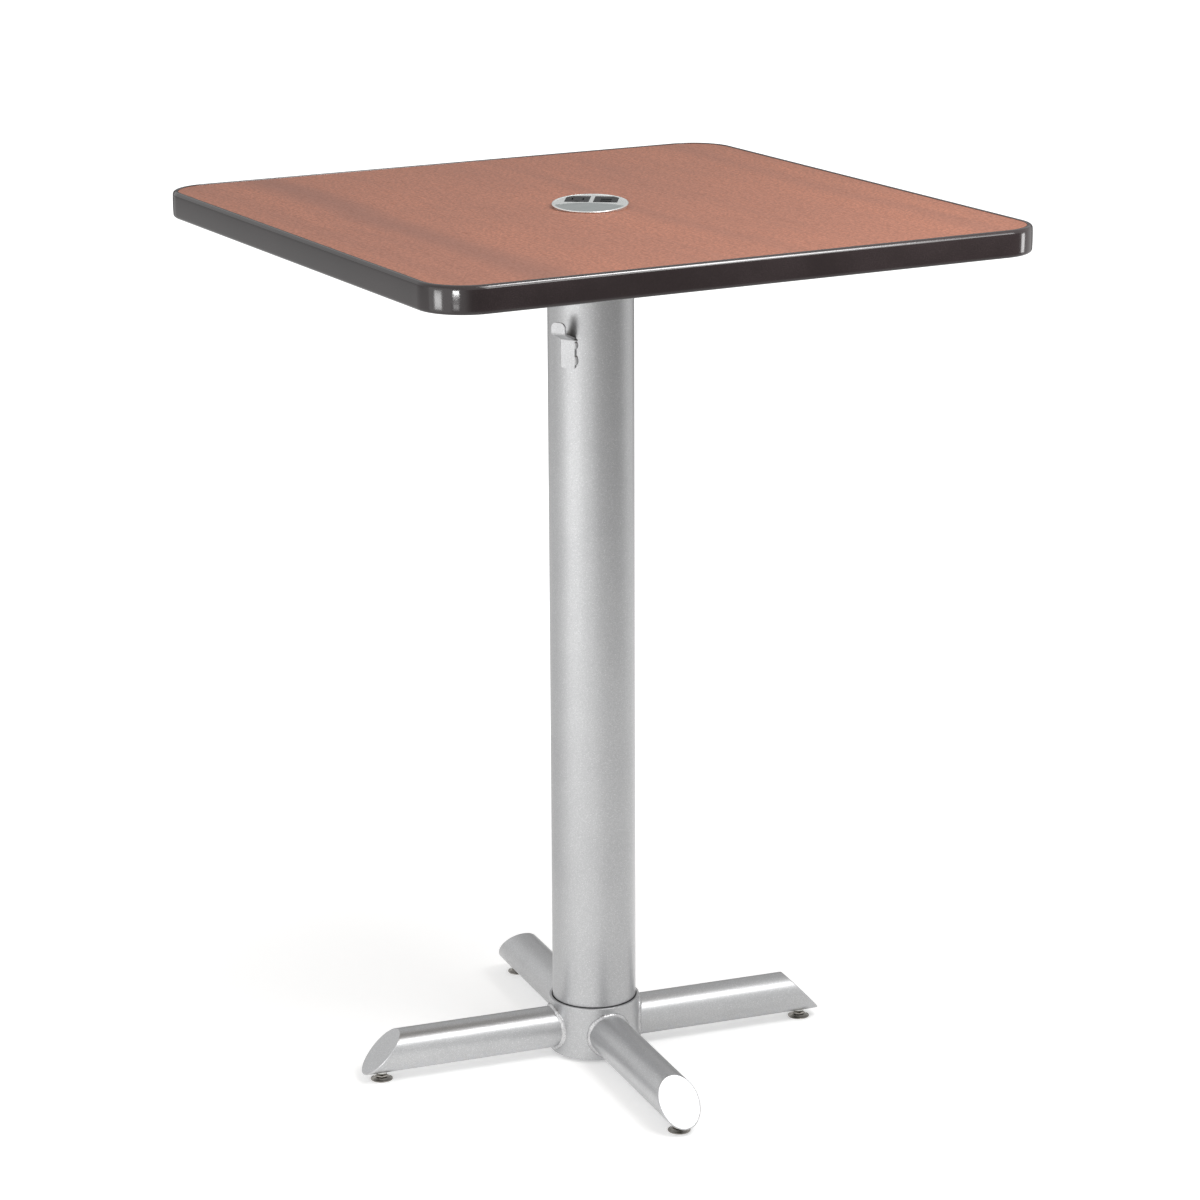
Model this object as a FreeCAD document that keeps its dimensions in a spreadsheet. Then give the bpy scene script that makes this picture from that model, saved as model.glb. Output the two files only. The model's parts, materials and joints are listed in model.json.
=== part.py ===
import FreeCAD, Part
import math
import os

import Sketcher

os.makedirs("parts", exist_ok=True)

V = FreeCAD.Vector
ROT = FreeCAD.Rotation
PLACE = FreeCAD.Placement

doc = FreeCAD.newDocument("cafe_table")

# ---------------------------------------------------------------------------
# Driving dimensions, in millimetres and degrees.
# Frame: origin on the floor under the column axis, +Z up, X and Y parallel to
# the sides of the square top.
# ---------------------------------------------------------------------------
DIMS = [
    # square top
    ("table_height", 1041.2, "floor to laminate surface"),
    ("top_side", 762.0, "outer side of the square top, over the edge band"),
    ("top_thickness", 30.2, "board with laminate and balancing sheet"),
    ("corner_radius", 56.0, "outer corner radius in plan"),
    ("band_width", 6.8, "wall of the edge band seen from above"),
    ("band_round", 4.0, "arris radius of the edge band"),
    ("band_proud", 0.8, "crest of the edge band over the laminate surface"),
    ("band_lip", 0.7, "rounding of the crest towards the laminate"),
    ("barb_depth", 9.0, "edge band barb, inward from the band wall"),
    ("barb_thickness", 2.0, "edge band barb"),
    ("slot_depth", 9.6, "groove in the core edge"),
    ("slot_thickness", 2.1, "groove in the core edge"),
    ("laminate_thickness", 0.9, "high pressure laminate"),
    ("backer_thickness", 0.7, "balancing sheet"),
    # power grommet
    ("hole_radius", 40.2, "round cut-out through the top"),
    ("bezel_radius", 44.5, "inclined round face"),
    ("bezel_edge", 1.6, "edge thickness of the inclined face"),
    ("rim_width", 1.6, "raised rim"),
    ("rim_height", 0.4, "raised rim over the face"),
    ("plinth_radius", 42.3, "wall that stands on the laminate"),
    ("face_tilt", 4.2, "slope of the face, degrees, low side to the sitter"),
    ("face_height", 4.96, "middle of the face above the laminate"),
    ("grommet_yaw", -34.9, "turn of the grommet in its round hole, degrees"),
    ("spigot_radius", 37.3, "locating spigot under the bezel"),
    ("spigot_depth", 6.0, "spigot below the laminate surface"),
    ("cavity_radius", 35.9, "hollow under the face"),
    ("face_plate", 3.2, "face to cavity ceiling"),
    ("window_inner", 2.5, "half of the bar between the two windows"),
    ("window_outer", 31.0, "outer side of each window from the centre"),
    ("window_low", 4.0, "near side of the windows"),
    ("window_high", 34.0, "far side of the windows"),
    ("window_circle", 41.5, "arc that trims the far outer corners"),
    ("insert_clear", 0.15, "gap round each insert"),
    ("insert_recess", 0.7, "insert face below the rim"),
    ("insert_depth", 16.0, "back of the inserts below the rim"),
    ("socket_depth", 3.5, "modelled depth of each socket"),
    ("panel_arc", 76.0, "arc between the half-moon panel and the windows"),
    ("panel_top", 1.5, "top of that arc from the centre"),
    ("panel_radius", 41.3, "outer arc of the half-moon panel"),
    ("panel_recess", 1.4, "seat of the half-moon panel"),
    ("panel_sink", 0.6, "face of the half-moon panel below the rim"),
    ("cup_radius", 39.5, "plastic cup through the top"),
    ("cup_wall", 1.9, "plastic cup"),
    ("cup_depth", 56.0, "plastic cup below the laminate surface"),
    ("cup_floor", 2.5, "plastic cup"),
    ("ring_radius", 46.2, "lock ring under the top"),
    ("ring_height", 8.0, "lock ring under the top"),
    ("gland_radius", 7.9, "cable gland thread"),
    ("gland_bore", 3.4, "cable gland bore radius"),
    # column and its top plate
    ("column_od", 101.6, "column tube"),
    ("column_wall", 2.8, "column tube"),
    ("plate_radius", 160.0, "round mounting plate"),
    ("plate_thickness", 4.8, "round mounting plate"),
    ("plate_hole", 47.2, "hole in the mounting plate"),
    ("plate_weld", 5.0, "fillet weld leg"),
    ("screw_circle", 145.0, "radius of the wood screw circle"),
    ("screw_radius", 2.5, "wood screw shank"),
    ("screw_head", 4.75, "wood screw pan head radius"),
    ("screw_head_height", 3.2, "wood screw pan head"),
    ("screw_length", 22.0, "wood screw under the head"),
    ("pilot_radius", 2.55, "pilot hole in the wood"),
    ("screw_clearance", 2.9, "hole in the mounting plate"),
    # foot of the column
    ("column_bottom", 20.0, "column stands on the collar floor"),
    ("foot_plate", 8.0, "disc welded inside the column end"),
    ("collar_od", 110.0, "base collar"),
    ("collar_id", 103.2, "base collar"),
    ("collar_bottom", 4.0, "base collar above the floor"),
    ("collar_height", 66.5, "base collar"),
    ("collar_floor", 6.0, "disc welded inside the collar"),
    ("bolt_radius", 6.0, "centre bolt"),
    ("bolt_hole", 6.5, "holes for the centre bolt"),
    ("bolt_flats", 18.0, "centre bolt head and weld nut across flats"),
    ("bolt_head", 7.5, "centre bolt head height"),
    ("bolt_tip", 44.0, "top of the centre bolt"),
    ("washer_radius", 12.0, "washer"),
    ("washer_thickness", 2.5, "washer"),
    ("nut_height", 10.0, "weld nut"),
    # legs
    ("base_yaw", -7.5, "turn of the cross base against the top, degrees"),
    ("leg_od", 50.8, "leg tube"),
    ("leg_wall", 2.4, "leg tube"),
    ("leg_axis", 34.9, "leg tube axis above the floor"),
    ("leg_reach", 276.0, "column axis to the cut face, on the leg axis"),
    ("leg_cut", 43.0, "slant of the cut face from upright, degrees"),
    ("cap_thickness", 3.0, "plate in the cut end"),
    ("leg_weld", 4.0, "saddle weld leg"),
    # levelling glides
    ("glide_radius", 274.5, "column axis to each glide"),
    ("insert_radius", 7.0, "threaded bush in the leg"),
    ("insert_bottom", 8.6, "threaded bush above the floor"),
    ("insert_top", 20.0, "threaded bush above the floor"),
    ("stem_radius", 4.0, "glide stem"),
    ("stem_gap", 0.06, "running clearance round the stem"),
    ("stem_top", 22.8, "glide stem above the floor"),
    ("stem_bottom", 1.5, "captive head above the floor"),
    ("stem_head", 5.4, "captive head radius"),
    ("hex_flats", 13.0, "spanner flats on the stem"),
    ("hex_bottom", 3.9, "spanner flats above the floor"),
    ("hex_top", 6.2, "spanner flats above the floor"),
    ("foot_radius", 13.5, "glide foot"),
    ("foot_rim", 1.1, "upright rim of the foot"),
    ("foot_neck", 8.2, "neck radius of the foot"),
    ("foot_height", 3.6, "glide foot"),
    # bag hook
    ("hook_yaw", 211.5, "where the hook stands round the column, degrees"),
    ("hook_low", 861.0, "lower edge of the hook plate"),
    ("hook_high", 896.5, "upper edge of the hook plate"),
    ("hook_strip", 18.0, "width of the hook strip, plate and arm"),
    ("hook_metal", 2.6, "strip thickness"),
    ("hook_face", 53.4, "outer face of the plate from the column axis"),
    ("hook_tip", 72.6, "inner face of the tip from the column axis"),
    ("hook_top", 918.0, "top of the tip"),
    ("hook_round", 6.5, "rounding of the tip's two upper corners"),
]

sheet = doc.addObject("Spreadsheet::Sheet", "Dims")
for row, (alias, number, note) in enumerate(DIMS, start=1):
    sheet.set("A%d" % row, alias)
    sheet.set("B%d" % row, str(number))
    sheet.set("C%d" % row, note)
    sheet.setAlias("B%d" % row, alias)
doc.recompute()


class Size:
    """A value together with the cell formula that it comes from."""

    def __init__(self, value, text):
        self.value = float(value)
        self.text = text

    @staticmethod
    def of(other):
        if isinstance(other, Size):
            return other
        return Size(other, repr(float(other)))

    def __add__(self, other):
        other = Size.of(other)
        return Size(self.value + other.value, "(%s + %s)" % (self.text, other.text))

    def __radd__(self, other):
        return Size.of(other) + self

    def __sub__(self, other):
        other = Size.of(other)
        return Size(self.value - other.value, "(%s - %s)" % (self.text, other.text))

    def __rsub__(self, other):
        return Size.of(other) - self

    def __mul__(self, other):
        other = Size.of(other)
        return Size(self.value * other.value, "(%s * %s)" % (self.text, other.text))

    def __rmul__(self, other):
        return Size.of(other) * self

    def __truediv__(self, other):
        other = Size.of(other)
        return Size(self.value / other.value, "(%s / %s)" % (self.text, other.text))

    def __neg__(self):
        return Size(-self.value, "(0 - %s)" % self.text)


def cell(name):
    return Size(sheet.get(name), "Dims.%s" % name)


def cosd(angle):
    angle = Size.of(angle)
    return Size(math.cos(math.radians(angle.value)), "cos(%s * 1deg)" % angle.text)


def sind(angle):
    angle = Size.of(angle)
    return Size(math.sin(math.radians(angle.value)), "sin(%s * 1deg)" % angle.text)


S = {alias: cell(alias) for alias, number, note in DIMS}
H = S["table_height"]
T = S["top_thickness"]
TOP_UNDER = H - T
PLATE_UNDER = TOP_UNDER - S["plate_thickness"]

nodes = {}
serial = [0]


def fresh(stem):
    serial[0] += 1
    return "%s_%03d" % (stem, serial[0])


def bind(obj, prop, size):
    size = Size.of(size)
    if "Dims." in size.text:
        obj.setExpression(prop, size.text)
    return size.value


def place(obj, x=0.0, y=0.0, z=0.0, axis=None, angle=0.0):
    """Set a placement, and bind each coordinate that comes from a cell."""
    xs, ys, zs, an = Size.of(x), Size.of(y), Size.of(z), Size.of(angle)
    turn = ROT(V(*axis), an.value) if axis else ROT()
    obj.Placement = PLACE(V(xs.value, ys.value, zs.value), turn)
    for prop, size in (("x", xs), ("y", ys), ("z", zs)):
        if "Dims." in size.text:
            obj.setExpression("Placement.Base." + prop, size.text)
    return obj


def cylinder(radius, height, **where):
    obj = doc.addObject("Part::Cylinder", fresh("cyl"))
    obj.Radius = bind(obj, "Radius", radius)
    obj.Height = bind(obj, "Height", height)
    return place(obj, **where)


def cone(low, high, height, **where):
    obj = doc.addObject("Part::Cone", fresh("cone"))
    obj.Radius1 = bind(obj, "Radius1", low)
    obj.Radius2 = bind(obj, "Radius2", high)
    obj.Height = bind(obj, "Height", height)
    return place(obj, **where)


def box(length, width, height, **where):
    obj = doc.addObject("Part::Box", fresh("box"))
    obj.Length = bind(obj, "Length", length)
    obj.Width = bind(obj, "Width", width)
    obj.Height = bind(obj, "Height", height)
    return place(obj, **where)


def hexagon(flats, height, **where):
    obj = doc.addObject("Part::Prism", fresh("hex"))
    obj.Polygon = 6
    obj.Circumradius = bind(obj, "Circumradius", flats / (2.0 * math.cos(math.pi / 6)))
    obj.Height = bind(obj, "Height", height)
    return place(obj, **where)


def cut(base, tool, name=None):
    obj = doc.addObject("Part::Cut", name or fresh("cut"))
    obj.Base = base
    obj.Tool = tool
    return obj


def common(first, second, name=None):
    obj = doc.addObject("Part::Common", name or fresh("common"))
    obj.Base = first
    obj.Tool = second
    return obj


def fuse(parts, name=None):
    obj = doc.addObject("Part::MultiFuse", name or fresh("fuse"))
    obj.Shapes = parts
    obj.Refine = True
    return obj


def group(parts, name):
    obj = doc.addObject("Part::Compound", name)
    obj.Links = parts
    return obj


def node(obj, label):
    obj.Label = label
    nodes[label] = obj
    return obj


# --- sketch helpers ---------------------------------------------------------
def new_body(name):
    return doc.addObject("PartDesign::Body", name)


def origin_item(body, role):
    for item in body.Origin.OriginFeatures:
        if item.Role == role:
            return item
    raise RuntimeError("no " + role)


def new_sketch(body, plane, offset=0.0):
    sk = body.newObject("Sketcher::SketchObject", fresh("sketch"))
    sk.AttachmentSupport = [(origin_item(body, plane), "")]
    sk.MapMode = "FlatFace"
    off = Size.of(offset)
    sk.AttachmentOffset = PLACE(V(0, 0, off.value), ROT())
    if "Dims." in off.text:
        sk.setExpression("AttachmentOffset.Base.z", off.text)
    return sk


def driven(sk, kind, *args):
    """Add a dimension and bind it to its cell formula."""
    size = Size.of(args[-1])
    index = sk.addConstraint(Sketcher.Constraint(kind, *args[:-1], size.value))
    if "Dims." in size.text:
        label = fresh("d")
        sk.renameConstraint(index, label)
        sk.setExpression("Constraints." + label, size.text)
    return index


def pin(sk, geo, pos, x, y):
    """Fix a point of a sketch at a place measured from the sketch origin."""
    for kind, axis_geo, size in (("DistanceX", -2, Size.of(x)), ("DistanceY", -1, Size.of(y))):
        if abs(size.value) < 1e-9:
            sk.addConstraint(Sketcher.Constraint("PointOnObject", geo, pos, axis_geo))
        elif size.value > 0:
            driven(sk, kind, -1, 1, geo, pos, size)
        else:
            driven(sk, kind, geo, pos, -1, 1, -size)


def sketch_circle(sk, radius, x=0.0, y=0.0):
    r, xs, ys = Size.of(radius), Size.of(x), Size.of(y)
    geo = sk.addGeometry(Part.Circle(V(xs.value, ys.value, 0), V(0, 0, 1), r.value), False)
    pin(sk, geo, 3, xs, ys)
    driven(sk, "Radius", geo, r)
    return geo


def sketch_rounded_square(sk, half, radius):
    """Square centred on the sketch origin, with four equal corner arcs."""
    half, radius = Size.of(half), Size.of(radius)
    a, r = half.value, radius.value
    b = a - r
    first = sk.GeometryCount
    pts = [((-b, -a), (b, -a)), ((a, -b), (a, b)), ((b, a), (-b, a)), ((-a, b), (-a, -b))]
    for (x0, y0), (x1, y1) in pts:
        sk.addGeometry(Part.LineSegment(V(x0, y0, 0), V(x1, y1, 0)), False)
    for cx, cy, start in ((b, -b, 270), (b, b, 0), (-b, b, 90), (-b, -b, 180)):
        arc = Part.ArcOfCircle(Part.Circle(V(cx, cy, 0), V(0, 0, 1), r),
                               math.radians(start), math.radians(start + 90))
        sk.addGeometry(arc, False)
    for i in range(4):
        line, arc, after = first + i, first + 4 + i, first + (i + 1) % 4
        sk.addConstraint(Sketcher.Constraint("Tangent", line, 2, arc, 1))
        sk.addConstraint(Sketcher.Constraint("Tangent", arc, 2, after, 1))
    for i in (0, 2):
        sk.addConstraint(Sketcher.Constraint("Horizontal", first + i))
    for i in (1, 3):
        sk.addConstraint(Sketcher.Constraint("Vertical", first + i))
    for i in (5, 6, 7):
        sk.addConstraint(Sketcher.Constraint("Equal", first + 4, first + i))
    driven(sk, "Radius", first + 4, radius)
    driven(sk, "DistanceY", first + 0, 1, -1, 1, half)
    driven(sk, "DistanceX", -1, 1, first + 1, 1, half)
    driven(sk, "DistanceY", -1, 1, first + 2, 1, half)
    driven(sk, "DistanceX", first + 3, 1, -1, 1, half)


def sketch_polygon(sk, points):
    """Closed polygon; every corner is held by cell formulas."""
    pts = [(Size.of(x), Size.of(y)) for x, y in points]
    first = sk.GeometryCount
    n = len(pts)
    for i in range(n):
        (x0, y0), (x1, y1) = pts[i], pts[(i + 1) % n]
        sk.addGeometry(Part.LineSegment(V(x0.value, y0.value, 0), V(x1.value, y1.value, 0)), False)
    for i in range(n):
        sk.addConstraint(Sketcher.Constraint("Coincident", first + i, 2, first + (i + 1) % n, 1))
    for i in range(n):
        pin(sk, first + i, 1, pts[i][0], pts[i][1])


def pad(body, sk, length, midplane=False, reversed_=False):
    obj = body.newObject("PartDesign::Pad", fresh("pad"))
    obj.Profile = sk
    obj.Length = bind(obj, "Length", length)
    if midplane:
        obj.Midplane = True
    obj.Reversed = reversed_
    return obj


def pocket(body, sk, length, reversed_=False, midplane=False):
    obj = body.newObject("PartDesign::Pocket", fresh("pocket"))
    obj.Profile = sk
    obj.Length = bind(obj, "Length", length)
    obj.Reversed = reversed_
    if midplane:
        obj.Midplane = True
    return obj


def revolve(body, sk):
    obj = body.newObject("PartDesign::Revolution", fresh("revolve"))
    obj.Profile = sk
    obj.ReferenceAxis = (sk, ["V_Axis"])
    obj.Angle = 360.0
    return obj


def screw_holes(sk, radius):
    for i in range(8):
        ang = Size.of(22.5 + 45.0 * i)
        sketch_circle(sk, radius, S["screw_circle"] * cosd(ang), S["screw_circle"] * sind(ang))


def volume_drops(body, before, what):
    doc.recompute()
    after = body.Shape.Volume
    if not after < before - 1e-3:
        raise RuntimeError("%s removed nothing (%.2f, %.2f)" % (what, before, after))
    return after


# ---------------------------------------------------------------------------
# Square top: core, laminate, balancing sheet and T-shaped edge band
# ---------------------------------------------------------------------------
core_half = S["top_side"] / 2.0 - S["band_width"]
core_radius = S["corner_radius"] - S["band_width"]
core_thickness = T - S["laminate_thickness"] - S["backer_thickness"]
mid_height = core_thickness / 2.0

core = new_body("core")
sk = new_sketch(core, "XY_Plane")
sketch_rounded_square(sk, core_half, core_radius)
pad(core, sk, core_thickness)
sk = new_sketch(core, "XY_Plane", core_thickness)
sketch_circle(sk, S["hole_radius"])
doc.recompute()
vol = core.Shape.Volume
pocket(core, sk, core_thickness + 1.0)
vol = volume_drops(core, vol, "grommet hole")
# groove for the barb, all round the edge at mid height
sk = new_sketch(core, "XY_Plane", mid_height + S["slot_thickness"] / 2.0)
sketch_rounded_square(sk, core_half + 2.0, core_radius + 2.0)
sketch_rounded_square(sk, core_half - S["slot_depth"], core_radius - S["slot_depth"])
pocket(core, sk, S["slot_thickness"])
vol = volume_drops(core, vol, "edge groove")
# pilot holes for the wood screws, blind, from below
sk = new_sketch(core, "XY_Plane")
screw_holes(sk, S["pilot_radius"])
pocket(core, sk, S["screw_length"] - S["plate_thickness"] - S["backer_thickness"] + 1.0, reversed_=True)
vol = volume_drops(core, vol, "pilot holes")
place(core, z=TOP_UNDER + S["backer_thickness"])
node(core, "tabletop_core")

laminate = new_body("laminate")
sk = new_sketch(laminate, "XY_Plane")
sketch_rounded_square(sk, core_half, core_radius)
sketch_circle(sk, S["hole_radius"])
pad(laminate, sk, S["laminate_thickness"])
place(laminate, z=H - S["laminate_thickness"])
node(laminate, "laminate_top")

backer = new_body("backer")
sk = new_sketch(backer, "XY_Plane")
sketch_rounded_square(sk, core_half, core_radius)
sketch_circle(sk, S["hole_radius"])
screw_holes(sk, S["pilot_radius"])
pad(backer, sk, S["backer_thickness"])
place(backer, z=TOP_UNDER)
node(backer, "backer_sheet")

band = new_body("band")
sk = new_sketch(band, "XY_Plane")
sketch_rounded_square(sk, S["top_side"] / 2.0, S["corner_radius"])
sketch_rounded_square(sk, core_half, core_radius)
pad(band, sk, T + S["band_proud"])
doc.recompute()
# the two outer arrises, top and bottom, are the longest-radius edge loops
outer = []
for i, edge in enumerate(band.Shape.Edges, start=1):
    c = edge.BoundBox
    flat = abs(c.ZMax - c.ZMin) < 1e-6
    reach = max(abs(c.XMin), abs(c.XMax), abs(c.YMin), abs(c.YMax))
    if not flat:
        continue
    mid = edge.valueAt((edge.FirstParameter + edge.LastParameter) / 2.0)
    on_outer = abs(max(abs(mid.x), abs(mid.y)) - S["top_side"].value / 2.0) < 1e-6
    if not on_outer and edge.Curve.TypeId == "Part::GeomCircle":
        on_outer = abs(edge.Curve.Radius - S["corner_radius"].value) < 1e-6
    if on_outer:
        outer.append("Edge%d" % i)
band_wall = band.Tip
arris = band.newObject("PartDesign::Fillet", "band_arris")
arris.Base = (band_wall, outer)
arris.Radius = bind(arris, "Radius", S["band_round"])
doc.recompute()
# the crest's inner edge loop, just over the laminate
inner_top = []
for i, edge in enumerate(band.Shape.Edges, start=1):
    c = edge.BoundBox
    if c.ZMax - c.ZMin > 1e-6 or abs(c.ZMax - (T + S["band_proud"]).value) > 1e-6:
        continue
    mid = edge.valueAt((edge.FirstParameter + edge.LastParameter) / 2.0)
    on_inner = abs(max(abs(mid.x), abs(mid.y)) - core_half.value) < 1e-6
    if not on_inner and edge.Curve.TypeId == "Part::GeomCircle":
        on_inner = abs(edge.Curve.Radius - core_radius.value) < 1e-6
    if on_inner:
        inner_top.append("Edge%d" % i)
band_crest = band.Tip
lip = band.newObject("PartDesign::Fillet", "band_lip")
lip.Base = (band_crest, inner_top)
lip.Radius = bind(lip, "Radius", S["band_lip"])
doc.recompute()
sk = new_sketch(band, "XY_Plane", S["backer_thickness"] + mid_height - S["barb_thickness"] / 2.0)
sketch_rounded_square(sk, core_half + 0.5, core_radius + 0.5)
sketch_rounded_square(sk, core_half - S["barb_depth"], core_radius - S["barb_depth"])
pad(band, sk, S["barb_thickness"])
place(band, z=TOP_UNDER)
node(band, "edge_band")

# ---------------------------------------------------------------------------
# Power grommet. It is built in the frame of its inclined face (face = XY,
# low side towards -Y) and then set on the top, tilted and turned.
# ---------------------------------------------------------------------------
tilt = S["face_tilt"]
up_y, up_z = sind(tilt), cosd(tilt)     # the vertical, seen in the face frame


def upright(radius, low, high):
    """Vertical cylinder about the grommet axis; heights above the laminate."""
    low, high = Size.of(low), Size.of(high)
    shift = low - S["face_height"]
    return cylinder(radius, high - low, y=shift * up_y, z=shift * up_z,
                    axis=(1, 0, 0), angle=-tilt)


def face_disc(radius, low, high, **where):
    low, high = Size.of(low), Size.of(high)
    return cylinder(radius, high - low, z=low, **where)


def face_box(x0, x1, y0, y1, z0, z1):
    x0, x1, y0, y1, z0, z1 = (Size.of(v) for v in (x0, x1, y0, y1, z0, z1))
    return box(x1 - x0, y1 - y0, z1 - z0, x=x0, y=y0, z=z0)


def below(depth):
    """Half-space under a plane parallel to the face."""
    return box(140.0, 140.0, 80.0, x=-70.0, y=-70.0, z=-80.0 - depth)


def seat(obj, label):
    """Put a grommet piece on the table: tilt about X, then turn about Z."""
    turn = ROT(V(0, 0, 1), S["grommet_yaw"].value).multiply(ROT(V(1, 0, 0), tilt.value))
    obj.Placement = PLACE(V(0, 0, H.value + S["face_height"].value), turn)
    obj.setExpression("Placement.Base.z", (H + S["face_height"]).text)
    return node(obj, label)


def window(side, grow, z0, z1):
    """One window in the face: a rectangle with its far outer corner trimmed."""
    inner = S["window_inner"] - grow
    outer_side = S["window_outer"] + grow
    x0, x1 = (inner, outer_side) if side > 0 else (-outer_side, -inner)
    rect = face_box(x0, x1, S["window_low"] - grow, S["window_high"] + grow, z0, z1)
    return common(rect, face_disc(S["window_circle"] + grow, z0, z1))


disc = face_disc(S["bezel_radius"], -S["bezel_edge"], 0.0)
doc.recompute()
rim_edges = []
for i, edge in enumerate(disc.Shape.Edges, start=1):
    if edge.Curve.TypeId == "Part::GeomCircle":
        rim_edges.append((i, 0.7, 0.7))
rounded_disc = doc.addObject("Part::Fillet", fresh("fillet"))
rounded_disc.Base = disc
rounded_disc.Edges = rim_edges
plinth = common(upright(S["plinth_radius"], 0.0, 30.0), below(S["bezel_edge"] / 2.0))
spigot = common(upright(S["spigot_radius"], -S["spigot_depth"], 30.0), below(S["bezel_edge"] / 2.0))
bezel_solid = fuse([rounded_disc, plinth, spigot])
cavity = common(upright(S["cavity_radius"], -S["spigot_depth"] - 1.0, 30.0), below(S["face_plate"]))
bezel_cuts = fuse([
    cavity,
    window(-1, 0.0, -S["face_plate"] - 1.0, 1.0),
    window(1, 0.0, -S["face_plate"] - 1.0, 1.0),
])
dish = face_disc(S["bezel_radius"] - S["rim_width"], -S["rim_height"], 1.0)
panel_seat = common(face_disc(S["panel_radius"], -S["panel_recess"], 1.0),
                    face_disc(S["panel_arc"], -S["panel_recess"], 1.0,
                              y=S["panel_top"] - S["panel_arc"]))
bezel = cut(cut(cut(bezel_solid, bezel_cuts), dish), panel_seat, "bezel")
seat(bezel, "grommet_bezel")

panel = common(face_disc(S["panel_radius"] - 0.1, -S["panel_recess"], -S["panel_sink"]),
               face_disc(S["panel_arc"] - 0.1, -S["panel_recess"], -S["panel_sink"],
                         y=S["panel_top"] - S["panel_arc"]), "panel")
seat(panel, "grommet_front_panel")

socket_floor = -S["insert_recess"] - S["socket_depth"]
insert_mid = (S["window_inner"] + S["window_outer"]) / 2.0


def insert_block(side):
    front = window(side, -S["insert_clear"], -S["face_plate"], -S["insert_recess"])
    x0, x1 = (1.5, 26.5) if side > 0 else (-26.5, -1.5)
    back = face_box(x0, x1, 2.0, 22.5, -S["insert_depth"], -S["face_plate"])
    return fuse([front, back])


# left: three-pin outlet, two blade slots over a round earth hole
outlet_tools = []
for dx in (-6.35, 6.35):
    outlet_tools.append(face_box(-insert_mid + dx - 0.95, -insert_mid + dx + 0.95, 16.6, 24.0, socket_floor, 1.0))
outlet_tools.append(face_disc(2.5, socket_floor, 1.0, x=-insert_mid, y=8.4))
outlet = cut(insert_block(-1), fuse(outlet_tools), "outlet")
seat(outlet, "outlet_insert")

# right: two flat charging sockets, each with its tongue
charger_tools, tongues = [], []
for yc in (11.2, 20.4):
    charger_tools.append(face_box(insert_mid - 6.3, insert_mid + 6.3, yc - 2.6, yc + 2.6, socket_floor, 1.0))
    tongues.append(face_box(insert_mid - 5.4, insert_mid + 5.4, yc + 0.1, yc + 1.9,
                            socket_floor - 0.2, -S["insert_recess"] - 0.6))
charger = fuse([cut(insert_block(1), fuse(charger_tools))] + tongues, "charger")
seat(charger, "charger_insert")

# plastic cup that passes through the top, with a hole for the cable gland
cup_low = H - S["cup_depth"]
cup = cut(cylinder(S["cup_radius"], S["cup_depth"] - 0.05, z=cup_low),
          fuse([cylinder(S["cup_radius"] - S["cup_wall"], S["cup_depth"], z=cup_low + S["cup_floor"]),
                cylinder(S["gland_radius"] + 0.1, 10.0, z=cup_low - 5.0)]), "cup")
node(cup, "grommet_cup")

ring_low = TOP_UNDER - S["ring_height"]
ring = cut(cylinder(S["ring_radius"], S["ring_height"], z=ring_low),
           fuse([cylinder(S["cup_radius"] + 0.05, S["ring_height"] + 2.0, z=ring_low - 1.0),
                 box(120.0, 5.0, 3.5, x=-60.0, y=-2.5, z=ring_low - 0.5),
                 box(5.0, 120.0, 3.5, x=-2.5, y=-60.0, z=ring_low - 0.5)]), "ring")
node(ring, "grommet_lock_ring")

gland = cut(fuse([cylinder(S["gland_radius"], 9.0, z=cup_low - 1.0),
                  hexagon(20.0, 6.0, z=cup_low - 6.0),
                  cone(6.5, 9.0, 8.0, z=cup_low - 14.0)]),
            cylinder(S["gland_bore"], 40.0, z=cup_low - 20.0), "gland")
node(gland, "cable_gland")

# ---------------------------------------------------------------------------
# Mounting plate, screws, column and its foot
# ---------------------------------------------------------------------------
plate = new_body("plate")
sk = new_sketch(plate, "XY_Plane")
sketch_circle(sk, S["plate_radius"])
sketch_circle(sk, S["plate_hole"])
screw_holes(sk, S["screw_clearance"])
pad(plate, sk, S["plate_thickness"])
place(plate, z=PLATE_UNDER)
node(plate, "mounting_plate")

screws = new_body("screws")
sk = new_sketch(screws, "XZ_Plane")
c0 = S["screw_circle"]
# half section of one pan-head screw, shank up, tip tapered
head, shank, drop = S["screw_head"], S["screw_radius"], S["screw_head_height"]
tip = S["screw_length"]
sketch_polygon(sk, [
    (c0, 0.0), (c0 + head * 0.7, 0.0), (c0 + head, drop * 0.45), (c0 + head, drop),
    (c0 + shank, drop), (c0 + shank, drop + tip - 4.0), (c0, drop + tip),
])
axis_line = sk.addGeometry(Part.LineSegment(V(c0.value, -5, 0), V(c0.value, 40, 0)), True)
sk.addConstraint(Sketcher.Constraint("Vertical", axis_line))
pin(sk, axis_line, 1, c0, -5.0)
driven(sk, "Distance", axis_line, 45.0)
turned = screws.newObject("PartDesign::Revolution", "screw_turned")
turned.Profile = sk
turned.ReferenceAxis = (sk, ["Axis0"])
turned.Angle = 360.0
doc.recompute()
ringed = screws.newObject("PartDesign::PolarPattern", "screw_ring")
ringed.Originals = [turned]
ringed.Axis = (origin_item(screws, "Z_Axis"), [""])
ringed.Angle = 360.0
ringed.Occurrences = 8
screws.Tip = ringed
screws.Placement = PLACE(V(0, 0, (PLATE_UNDER - drop).value), ROT(V(0, 0, 1), 22.5))
screws.setExpression("Placement.Base.z", (PLATE_UNDER - drop).text)
node(screws, "mounting_screws")

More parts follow.
